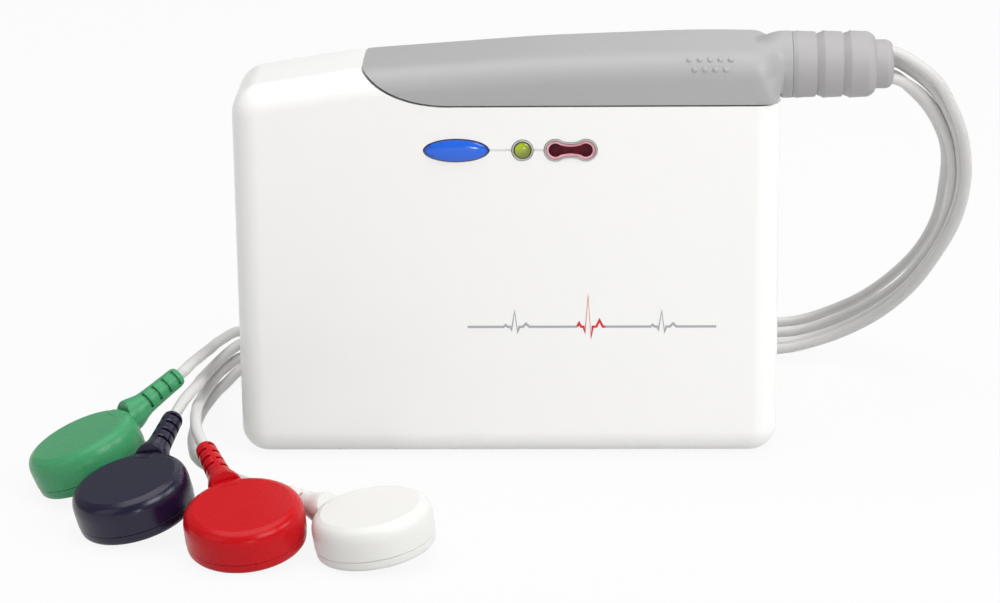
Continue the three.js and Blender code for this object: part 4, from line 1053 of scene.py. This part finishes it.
def lead_line(name):
    """A lead's middle line, from inside the nose to inside its boot's tip."""
    across, up = EXITS[name]
    matrix = head_matrix(name)
    outward = (matrix.to_3x3() @ Vector((math.cos(BOOT_PITCH), 0, math.sin(BOOT_PITCH)))).normalized()
    tip = matrix @ Vector((0, 0, BOOT_HEIGHT)) + outward * BOOT_REACH
    start = Vector((NOSE_END, MID_Y + across, CABLE_Z + up))
    points = [start - Vector((LEAD_ROOT, 0, 0)), start + Vector((FIT_GAP, 0, 0))]
    points += [Vector(p) for p in ROUTES[name]]
    points += [tip + outward * LEAD_START, tip + outward * FIT_GAP, tip - outward * LEAD_TIP_ROOT]
    return through(points)


class RECORDER_OT_leads(Maker):
    """Four leads from the nose, behind the case and on to their snap heads"""
    bl_idname = "recorder.leads"
    bl_label = "Leads"

    def make(self, context):
        for name in HEADS:
            line = lead_line(name)
            curve = bpy.data.curves.new(name + "_wire", "CURVE")
            curve.dimensions = "3D"
            curve.bevel_depth = self.sizes.lead / 2
            curve.bevel_resolution = 5
            curve.use_fill_caps = True
            spline = curve.splines.new("POLY")
            spline.points.add(len(line) - 1)
            for point, where in zip(spline.points, line):
                point.co = (*(where * MM), 1.0)
            spline.use_smooth = True
            wire = placed(name + "_wire", curve)
            curve.materials.append(self.finish["lead_grey"])
            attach(wire, "plug")
            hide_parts(name + "_lead")
            measured = sum((b - a).length for a, b in zip(line, line[1:])) * MM
            print("lead", name, round(measured, 4), "m, lowest", round(min(p.z for p in line), 2), "mm")


# Case

class RECORDER_OT_case(Maker):
    """Front and rear shell of the case"""
    bl_idname = "recorder.case"
    bl_label = "Case shells"

    def make(self, context):
        ease = self.sizes.seam_ease / MM
        whole = whole_case()
        halves = {
            "case_front": ("front_shell", (FACE_Y - CUT_MARGIN, SPLIT_Y)),
            "case_back": ("rear_shell", (SPLIT_Y, BACK_Y + CUT_MARGIN)),
        }
        for name, (node, (y0, y1)) in halves.items():
            side = block((LEFT - CUT_MARGIN, y0, -CUT_MARGIN), (RIGHT + CUT_MARGIN, y1, CROWN + CUT_MARGIN))
            half = carve(placed("half", whole.data.copy()), side, operation="INTERSECT")
            eased(half, ease)
            self.add(name, shape_of(half), "shell_white", "case", node)
        dropped(whole)


class RECORDER_OT_controls(Maker):
    """Event key, status lens in its ring and infrared window in its rim"""
    bl_idname = "recorder.controls"
    bl_label = "Controls"

    def make(self, context):
        self.key(self.sizes.dome / MM)
        self.lens()
        self.window()

    def key(self, proud):
        """The key: a side wall, then rings that draw in and rise as a dome."""
        bm = bmesh.new()
        start_y = INNER_FACE_Y + FIT_GAP
        outline = oval(0, 0, BUTTON_LENGTH, BUTTON_HEIGHT, 16)
        face = bm.faces.new([bm.verts.new((x, start_y, z)) for x, z in outline])
        brow = FACE_Y + 0.1
        rings = [(0.999, brow)] + [(math.cos(a), brow - (proud + 0.1) * math.sin(a) ** 0.9)
                                   for a in sweep(math.pi / 2, 9)[1:-1]]
        scale, y = 1.0, start_y
        for new_scale, new_y in rings:
            grown = bmesh.ops.extrude_face_region(bm, geom=[face])["geom"]
            face = next(f for f in grown if isinstance(f, bmesh.types.BMFace))
            verts = list(face.verts)
            bmesh.ops.translate(bm, verts=verts, vec=(0, new_y - y, 0))
            ratio = new_scale / scale
            bmesh.ops.scale(bm, verts=verts, vec=(ratio, 1, ratio))
            scale, y = new_scale, new_y
        bmesh.ops.translate(bm, verts=bmesh.ops.poke(bm, faces=[face])["verts"], vec=(0, -0.01, 0))
        bmesh.ops.recalc_face_normals(bm, faces=bm.faces)
        flange = prism(oval(0, 0, BUTTON_LENGTH + 2 * KEY_FLANGE, BUTTON_HEIGHT + 2 * KEY_FLANGE),
                       start_y, start_y + KEY_FLANGE)
        r = KEY_STEM_RADIUS
        stem_start = start_y + KEY_FLANGE - 0.1
        stem_end = place("event_button")[1].y
        stem = spun([(0, stem_start), (r, stem_start), (r, stem_end - 0.2), (r - 0.2, stem_end),
                     (0, stem_end)], "Y", 32)
        key = carve(worked(bm), flange, stem, operation="UNION")
        bm = moved(shape_of(key), Matrix.Translation((BUTTON_X, 0, CONTROL_Z)))
        self.add("event_key", bm, "button_blue", "button", "event_button", 50.0)

    def lens(self):
        """The lens as a domed light pipe, and the ring round it."""
        at = (LENS_X, 0, CONTROL_Z)
        end_y = place("status_lens")[1].y
        dome = [(LENS_RADIUS * math.sin(a), FACE_Y - LENS_DOME * math.cos(a)) for a in sweep(math.pi / 2, 10)]
        pipe = dome + [(LENS_RADIUS, end_y), (0, end_y)]
        self.add("status_pipe", spun(pipe, "Y", 48, at), "lens_green", "case", "status_lens")
        inner = LENS_RADIUS + OPENING_GAP
        mid = (inner + RING_RADIUS) / 2
        half = (RING_RADIUS - inner) / 2
        crown = [(mid - half * math.cos(a), FACE_Y - RING_DOME * math.sin(a)) for a in sweep(math.pi, 8)]
        ring = crown + [(RING_RADIUS, INNER_FACE_Y), (inner, INNER_FACE_Y), crown[0]]
        self.add("status_collar", spun(ring, "Y", 48, at), "bezel_grey", "case", "status_bezel")

    def window(self):
        """The rim, and in it a dark pane with a pale sloping edge."""
        rim = worked(prism(dumbbell(0), FACE_Y - RIM_RISE, INNER_FACE_Y))
        carve(rim, prism(dumbbell(-RIM_WIDTH), FACE_Y - 1, INNER_FACE_Y + 1))
        eased(rim, 0.09, 40.0, 3)
        self.add("infrared_rim", shape_of(rim), "bezel_grey", "case", "infrared_bezel")
        bm = prism(dumbbell(-RIM_WIDTH - OPENING_GAP), FACE_Y - 0.1, INNER_FACE_Y + 0.6)
        front = min(bm.faces, key=lambda f: f.calc_center_median().y)
        bmesh.ops.inset_region(bm, faces=[front], thickness=PANE_EDGE, depth=-PANE_DEPTH,
                               use_even_offset=True)
        for face in bm.faces:
            face.material_index = 1
        front.material_index = 0
        finish = [self.finish["window_red"], self.finish["rim_pink"]]
        piece("infrared_pane", bm, finish, "case", "infrared_window", 30.0)


# Plug

def face_edge(x, z):
    """A point on the rounded upper edge of the face, and the way it faces."""
    up = min(max(z - (CROWN - CROWN_SAG - CASE_RIM), 0), CASE_RIM)
    back = CASE_RIM - math.sqrt(CASE_RIM ** 2 - up ** 2)
    return Vector((x, FACE_Y + back, z)), Vector((0, back - CASE_RIM, up)).normalized()


class RECORDER_OT_plug(Maker):
    """Plug cover with its neck and grip domes"""
    bl_idname = "recorder.plug"
    bl_label = "Plug"

    def make(self, context):
        cover = worked(body_pillow())
        carve(cover, bay_side(FIT_GAP, RIGHT + 0.05, 1.6), operation="INTERSECT")
        carve(cover, block((RIGHT - PLUG_BLEND, FACE_Y - CUT_MARGIN, 0),
                           (RIGHT + CUT_MARGIN, BACK_Y + CUT_MARGIN, CROWN + CUT_MARGIN)))
        cut = [v.co for v in cover.data.vertices if v.co.x > RIGHT - PLUG_BLEND - 0.001]
        end = worked(self.blend([(co.y - MID_Y, co.z - CABLE_Z) for co in cut]))
        carve(end, block((LEFT, FACE_Y - CUT_MARGIN, 0),
                         (RIGHT + FIT_GAP, BACK_Y + CUT_MARGIN, BAY_FLOOR + FIT_GAP)))
        carve(cover, shape_of(end), operation="UNION")
        cavity = block((LEFT + 46.0, FACE_Y + PLUG_WALL, BAY_FLOOR - 1),
                       (RIGHT - 11.0, BACK_Y - PLUG_WALL, CROWN - 3.7))
        bore_floor = RELIEF_START - BORE_DEPTH - 2 * FIT_GAP
        bore = spun(rod(bore_floor, NECK_END + 1, BORE_RADIUS), "X", 40, (0, MID_Y, CABLE_Z))
        way = spun(rod(RIGHT - 12.0, bore_floor + 1, 2.0), "X", 32, (0, MID_Y, CABLE_Z))
        carve(cover, cavity, bore, way)
        eased(cover, self.sizes.seam_ease / MM)
        carve(cover, self.domes(), operation="UNION")
        self.add("plug_body", shape_of(cover), "plug_grey", "plug", "plug_cover")

    def blend(self, section):
        """The plug's right end, where its section draws in to the cable's collar, the top first."""
        section = sorted(section, key=lambda point: math.atan2(point[1], point[0]))
        corners = [math.atan2(z, y) for y, z in section]

        def reach(angle):
            """How far the section goes from the cable's axis at an angle."""
            k = sum(corner <= angle for corner in corners)
            (y0, z0), (y1, z1) = section[k - 1], section[k % len(section)]
            run, rise = y1 - y0, z1 - z0
            slant = math.cos(angle) * rise - math.sin(angle) * run
            return (y0 * rise - z0 * run) / slant if abs(slant) > 1e-9 else math.hypot(y0, z0)

        spokes, steps = 96, 16
        spread = [math.tau * (k + 0.5) / spokes - math.pi for k in range(spokes)]
        angles = sorted(corners + [a for a in spread if min(abs(a - corner) for corner in corners) > 0.02])
        stations = [(RIGHT - PLUG_BLEND + (PLUG_BLEND + 0.6) * k / steps, k / steps, 0.0)
                    for k in range(steps + 1)]
        stations += [(NECK_END - 0.3, 1.0, 0.0), (NECK_END - 0.08, 1.0, 0.02), (NECK_END, 1.0, 0.08)]
        bm = bmesh.new()
        rings = []
        for x, way, inset in stations:
            ring = []
            for angle in angles:
                up = math.sin(angle)
                late = 1.6 - 0.8 * up if up > 0 else 1.6 + 2.4 * min(1.0, -up / 0.354)
                t = way ** late
                share = t * t * (3 - 2 * t)
                r = reach(angle) * (1 - share) + (RELIEF_RADIUS - inset) * share
                ring.append(bm.verts.new((x, MID_Y + r * math.cos(angle), CABLE_Z + r * math.sin(angle))))
            rings.append(ring)
        for one, two in zip(rings, rings[1:]):
            for k in range(len(angles)):
                m = (k + 1) % len(angles)
                bm.faces.new((one[k], one[m], two[m], two[k]))
        bm.faces.new(rings[0][::-1])
        bm.faces.new(rings[-1])
        bmesh.ops.recalc_face_normals(bm, faces=bm.faces)
        return bm

    def domes(self):
        """The rows of small raised grip domes."""
        radius = self.sizes.grip / MM
        root = 0.6
        cap = [(radius * math.cos(a), GRIP_RISE * math.sin(a)) for a in sweep(math.pi / 2, 6)[:-1]]
        shapes = []
        for count, start, z in GRIP_ROWS:
            for k in range(count):
                where, facing = face_edge(LEFT + start + k * GRIP_STEP, z)
                dome = spun([(0, -root), (radius, -root)] + cap + [(0, GRIP_RISE)], "Z", 20)
                turn = Vector((0, 0, 1)).rotation_difference(facing).to_matrix().to_4x4()
                shapes.append(moved(dome, Matrix.Translation(where) @ turn))
        return together(*shapes)


class RECORDER_OT_relief(Maker):
    """Ribbed strain relief and the nose that the leads leave"""
    bl_idname = "recorder.relief"
    bl_label = "Strain relief"

    def make(self, context):
        r = RELIEF_RADIUS
        start = NECK_END + 0.03
        profile = [(0, start - 4.9), (2.8, start - 4.9), (3.0, start - 4.7), (3.0, start), (r - 0.3, start),
                   (r - 0.12, start + 0.04), (r - 0.07, start + 0.3), (r - 0.03, start + 0.7)]
        for k in range(3):
            ridge = RELIEF_START + 0.68 + BAND_STEP * k
            groove = ridge + BAND_WIDTH
            profile += [(r + 0.05, ridge), (r - 0.03, ridge + 0.18), (r - 0.14, groove - 0.5),
                        (r - 0.2, groove - 0.05)]
            if k < 2:
                profile += [(r - 0.52, groove + 0.03), (r - 0.56, groove + 0.12), (r - 0.42, groove + 0.32),
                            (r - 0.24, groove + 0.85), (r - 0.04, groove + 1.25)]
        profile += [(r - 0.3, groove + 0.06), (r - 0.38, groove + 0.25), (r - 0.56, groove + 0.55),
                    (r - 0.86, groove + 0.86), (r - 1.2, groove + 1.06), (NOSE_RADIUS + 0.12, groove + 1.18),
                    (NOSE_RADIUS, groove + 1.32)]
        profile += arc((NOSE_RADIUS - NOSE_ROUND, NOSE_END - NOSE_ROUND), NOSE_ROUND, 0, math.pi / 2, 8)
        profile.append((0, NOSE_END))
        bm = spun(profile, "X", 72, (0, MID_Y, CABLE_Z))
        self.add("relief_sleeve", bm, "relief_grey", "plug", "strain_relief", 60.0)


# Battery bay

class RECORDER_OT_battery_bay(Maker):
    """Battery door, battery, and the parts it meets"""
    bl_idname = "recorder.battery_bay"
    bl_label = "Battery bay"

    def make(self, context):
        self.door()
        self.cell()
        dress("battery_tray", self.finish["inner_white"])
        for node in ("battery_spring", "battery_contact"):
            dress(node, self.finish["steel"])

    def door(self):
        """The door, with a round hollow and three ribs for a fingertip."""
        low, high = place("battery_door")
        door = worked(block(low, high))
        mid = (low.z + high.z) / 2
        hollow_x = high.x - 6.0
        dish = [(0, BACK_Y - 0.8), (2.6, BACK_Y - 0.78), (3.5, BACK_Y - 0.6), (4.0, BACK_Y - 0.1),
                (4.05, BACK_Y + 1), (0, BACK_Y + 1)]
        carve(door, spun(dish, "Y", 40, (hollow_x, 0, mid)))
        eased(door, 0.25, 50.0, 3)
        half = 0.2
        ribs = together(*[block((x - half, BACK_Y - 1.2, mid - h), (x + half, BACK_Y - 0.35, mid + h))
                          for x, h in ((hollow_x - 1.5, 2.4), (hollow_x, 2.8), (hollow_x + 1.5, 2.4))])
        carve(door, ribs, operation="UNION")
        self.add("door_panel", shape_of(door), "shell_white", "door", "battery_door")

    def cell(self):
        """A plain AA cell with its positive end to the right."""
        low, high = place("battery")
        at = (0, (low.y + high.y) / 2, (low.z + high.z) / 2)
        r = (high.z - low.z) / 2
        can = high.x - 1.0
        profile = [(0, low.x + 0.15), (4.2, low.x + 0.15), (4.6, low.x), (r - 0.6, low.x),
                   (r - 0.2, low.x + 0.15), (r, low.x + 0.6), (r, can - 0.7), (r - 0.15, can - 0.3),
                   (r - 0.6, can), (5.4, can), (5.1, can - 0.25), (3.2, can - 0.25), (2.75, can - 0.1),
                   (2.75, high.x - 0.25), (2.5, high.x), (0, high.x)]
        self.add("aa_cell", spun(profile, "X", 64, at), "cell_sleeve", "case", "battery", 30.0)


class RECORDER_OT_screws(Maker):
    """Four case screws in the back"""
    bl_idname = "recorder.screws"
    bl_label = "Screws"

    def make(self, context):
        seat = SCREW_SEAT_Y
        top = seat + SCREW_HEAD
        end = seat - SCREW_LENGTH
        r = SCREW_HEAD_RADIUS
        profile = [(0, end), (0.66, end), (1.1, end + 1), (1.1, seat), (r, seat), (r, top - 0.55),
                   (r - 0.1, top - 0.3), (r - 0.4, top - 0.12), (r - 1.0, top - 0.02), (0, top)]
        for i, (x, z) in enumerate(POSTS):
            screw = worked(spun(profile, "Y", 40))
            for a, b in ((1.4, 0.35), (0.35, 1.4)):
                carve(screw, block((-a, top - 0.6, -b), (a, top + 1, b)))
            bm = moved(shape_of(screw), Matrix.Translation((x, 0, z)))
            self.add(f"back_screw_{i + 1}", bm, "steel", "case", f"case_screw_{i + 1}")


# Electronics

class RECORDER_OT_electronics(Maker):
    """Board, chips, switch, lamp, sockets and contacts inside"""
    bl_idname = "recorder.electronics"
    bl_label = "Electronics"

    def make(self, context):
        nodes = {
            "board_green": ["main_board", "plug_board"],
            "chip_black": ["event_switch", "infrared_module", "controller_chip", "memory_chip",
                           "amplifier_chip", "socket_block", "plug_contacts"],
            "lamp_clear": ["status_lamp"],
            "contact_gold": ["socket_contacts"],
            "plug_grey": ["plug_base"],
        }
        for slot, names in nodes.items():
            for node in names:
                dress(node, self.finish[slot])


# Snap heads

class RECORDER_OT_snap_heads(Maker):
    """Four snap heads with their bend reliefs, bases and sockets"""
    bl_idname = "recorder.snap_heads"
    bl_label = "Snap heads"

    def make(self, context):
        for name in HEADS:
            matrix = head_matrix(name)
            pieces = [
                self.add(name + end, bm, slot, "plug", name + node, 34.0, matrix)
                for end, bm, slot, node in [
                    ("_head", self.shell(), "head_" + name, "_snap_head"),
                    ("_base", self.base(), "head_" + name, "_snap_base"),
                    ("_stud_ring", self.ring(), "steel", "_snap_socket"),
                ]
            ]
            line = lead_line(name)

    def shell(self):
        """The head's round shell with its slotted boot."""
        r = SHELL_RADIUS
        profile = [(0, HEAD_SEAM), (r - 0.14, HEAD_SEAM), (r - 0.04, HEAD_SEAM + 0.04), (r, HEAD_SEAM + 0.13)]
        profile += bend([(r, 4.6), (r - 0.05, 7.0), (8.6, HEAD_HEIGHT - 0.14)], 9)
        profile += [(8.4, HEAD_HEIGHT - 0.03), (8.25, HEAD_HEIGHT), (0, HEAD_HEIGHT)]
        head = worked(spun(profile, "Z", 88))
        boot = worked(self.boot())
        width = self.sizes.slot / MM
        slots = []
        for k in range(BOOT_SLOTS):
            reach = SLOT_START + SLOT_STEP * k
            y0, y1 = (SLOT_WEB, 4) if k % 2 else (-4, -SLOT_WEB)
            slots.append(block((reach - width / 2, y0, -0.9), (reach + width / 2, y1, 4)))
        carve(boot, together(*slots))
        core_end = BOOT_REACH - 0.8
        core = spun([(0, 9.0), (1.62, 9.0), (1.4, core_end), (0, core_end)], "X", 32)
        carve(boot, core, operation="UNION")
        eased(boot, 0.1, 40.0, 2)
        turn = Matrix.Translation((0, 0, BOOT_HEIGHT)) @ Matrix.Rotation(-BOOT_PITCH, 4, "Y")
        boot = worked(moved(shape_of(boot), turn))
        shoulder = [(0, 7.55), (8.5, 7.55), (9.2, 7.22), (9.75, 6.68), (10.3, 8.6), (10.3, 9.8), (0, 9.8)]
        carve(boot, block((-50, -12, -9), (50, 12, HEAD_SEAM)), spun(shoulder, "Z", 64))
        carve(head, shape_of(boot), operation="UNION")
        eased(head, 0.22, 28.0, 2)
        return shape_of(head)

    def boot(self):
        """The bend relief before it is pitched up: a collar, a slotted sleeve and a rounded tip."""
        return spun([
            (0, 7.5), (2.9, 7.5), (3.0, 9.8), (2.94, 10.8), (2.74, 11.6), (2.46, 12.4), (2.24, 13.1),
            (2.1, 13.8), (2.02, 15.0), (1.94, 17.0), (1.86, 19.5), (1.82, 21.0), (1.74, 21.5),
            (1.52, 21.86), (1.2, BOOT_REACH), (0, BOOT_REACH),
        ], "X", 44)

    def base(self):
        """The ring that closes the head's underside."""
        r = HEAD_RADIUS
        top = HEAD_SEAM - 0.05
        return spun([
            (3.5, 0.15), (3.65, 0), (HEAD_BASE_RADIUS, 0), (HEAD_BASE_RADIUS + 0.45, 0.2), (r - 0.2, 0.36),
            (r - 0.02, 0.6), (r + 0.08, 1.0), (r + 0.1, top - 0.08), (r, top), (3.5, top), (3.5, 0.15),
        ], "Z", 88)

    def ring(self):
        """The metal socket that takes an electrode's stud."""
        top = HEAD_SEAM - FIT_GAP
        return spun([
            (1.95, 0.45), (2.1, 0.24), (2.4, 0.2), (3.0, 0.2), (3.1, 0.3), (3.1, top), (1.95, top),
            (1.95, 0.45),
        ], "Z", 48)


class RECORDER_OT_trace(Maker):
    """A plain printed pulse trace on the face"""
    bl_idname = "recorder.trace"
    bl_label = "Pulse trace"

    def make(self, context):
        def beat(middle, rise):
            return [(middle + x, TRACE_Z + z * rise) for x, z in BEAT]

        self.stroke("trace_near", [(-17.0, TRACE_Z)] + beat(-9.0, 0.62) + [(2.4, TRACE_Z)], "ink_grey")
        self.stroke("trace_peak", beat(4.0, 1.25), "ink_red")
        self.stroke("trace_far", [(7.4, TRACE_Z)] + beat(17.0, 0.62) + [(27.0, TRACE_Z)], "ink_grey")

    def stroke(self, name, points, ink):
        """A thin even ribbon of ink along a line on the face."""
        half = self.sizes.trace / MM / 2
        points = [Vector(p) for p in points]
        left, right = [], []
        for i, here in enumerate(points):
            before = (here - points[i - 1]).normalized() if i else None
            after = (points[i + 1] - here).normalized() if i + 1 < len(points) else None
            before, after = before or after, after or before
            across = Vector((-before.y - after.y, before.x + after.x)).normalized()
            spread = half / max(across.dot(Vector((-after.y, after.x))), 0.45)
            left.append(here + across * spread)
            right.append(here - across * spread)
        bm = bmesh.new()
        rows = [[bm.verts.new((p.x, FACE_Y - TRACE_THICKNESS, p.y)) for p in side] for side in (left, right)]
        for i in range(len(points) - 1):
            bm.faces.new((rows[0][i], rows[0][i + 1], rows[1][i + 1], rows[1][i]))
        drawn_out(bm, list(bm.faces), 2 * TRACE_THICKNESS)
        piece(name, bm, [self.finish[ink]], "case")


class RECORDER_PT_panel(bpy.types.Panel):
    """The recorder's sizes, colours and pieces"""
    bl_idname = "RECORDER_PT_panel"
    bl_label = "Pocket heart recorder"
    bl_space_type = "VIEW_3D"
    bl_region_type = "UI"
    bl_category = "Recorder"

    def draw(self, context):
        for group in (context.scene.recorder_sizes, context.scene.recorder_colours):
            column = self.layout.column(align=True)
            for name in group.__annotations__:
                column.prop(group, name)
        for operator in STEPS:
            self.layout.operator(operator.bl_idname)


STEPS = [
    RECORDER_OT_stage, RECORDER_OT_leads, RECORDER_OT_snap_heads, RECORDER_OT_case,
    RECORDER_OT_controls, RECORDER_OT_plug, RECORDER_OT_relief, RECORDER_OT_battery_bay,
    RECORDER_OT_screws, RECORDER_OT_electronics, RECORDER_OT_trace,
]
CLASSES = [RecorderSizes, RecorderColours, *STEPS, RECORDER_PT_panel]


def register():
    """Adds the classes, and the settings that they keep with the scene."""
    for one in CLASSES:
        bpy.utils.register_class(one)
    bpy.types.Scene.recorder_sizes = PointerProperty(type=RecorderSizes)
    bpy.types.Scene.recorder_colours = PointerProperty(type=RecorderColours)


def unregister():
    """Takes the settings and the classes away."""
    del bpy.types.Scene.recorder_colours
    del bpy.types.Scene.recorder_sizes
    for one in reversed(CLASSES):
        bpy.utils.unregister_class(one)


def main():
    """Builds every piece."""
    register()
    for operator in STEPS:
        area, name = operator.bl_idname.split(".")
        getattr(getattr(bpy.ops, area), name)()


if __name__ == "__main__":
    main()
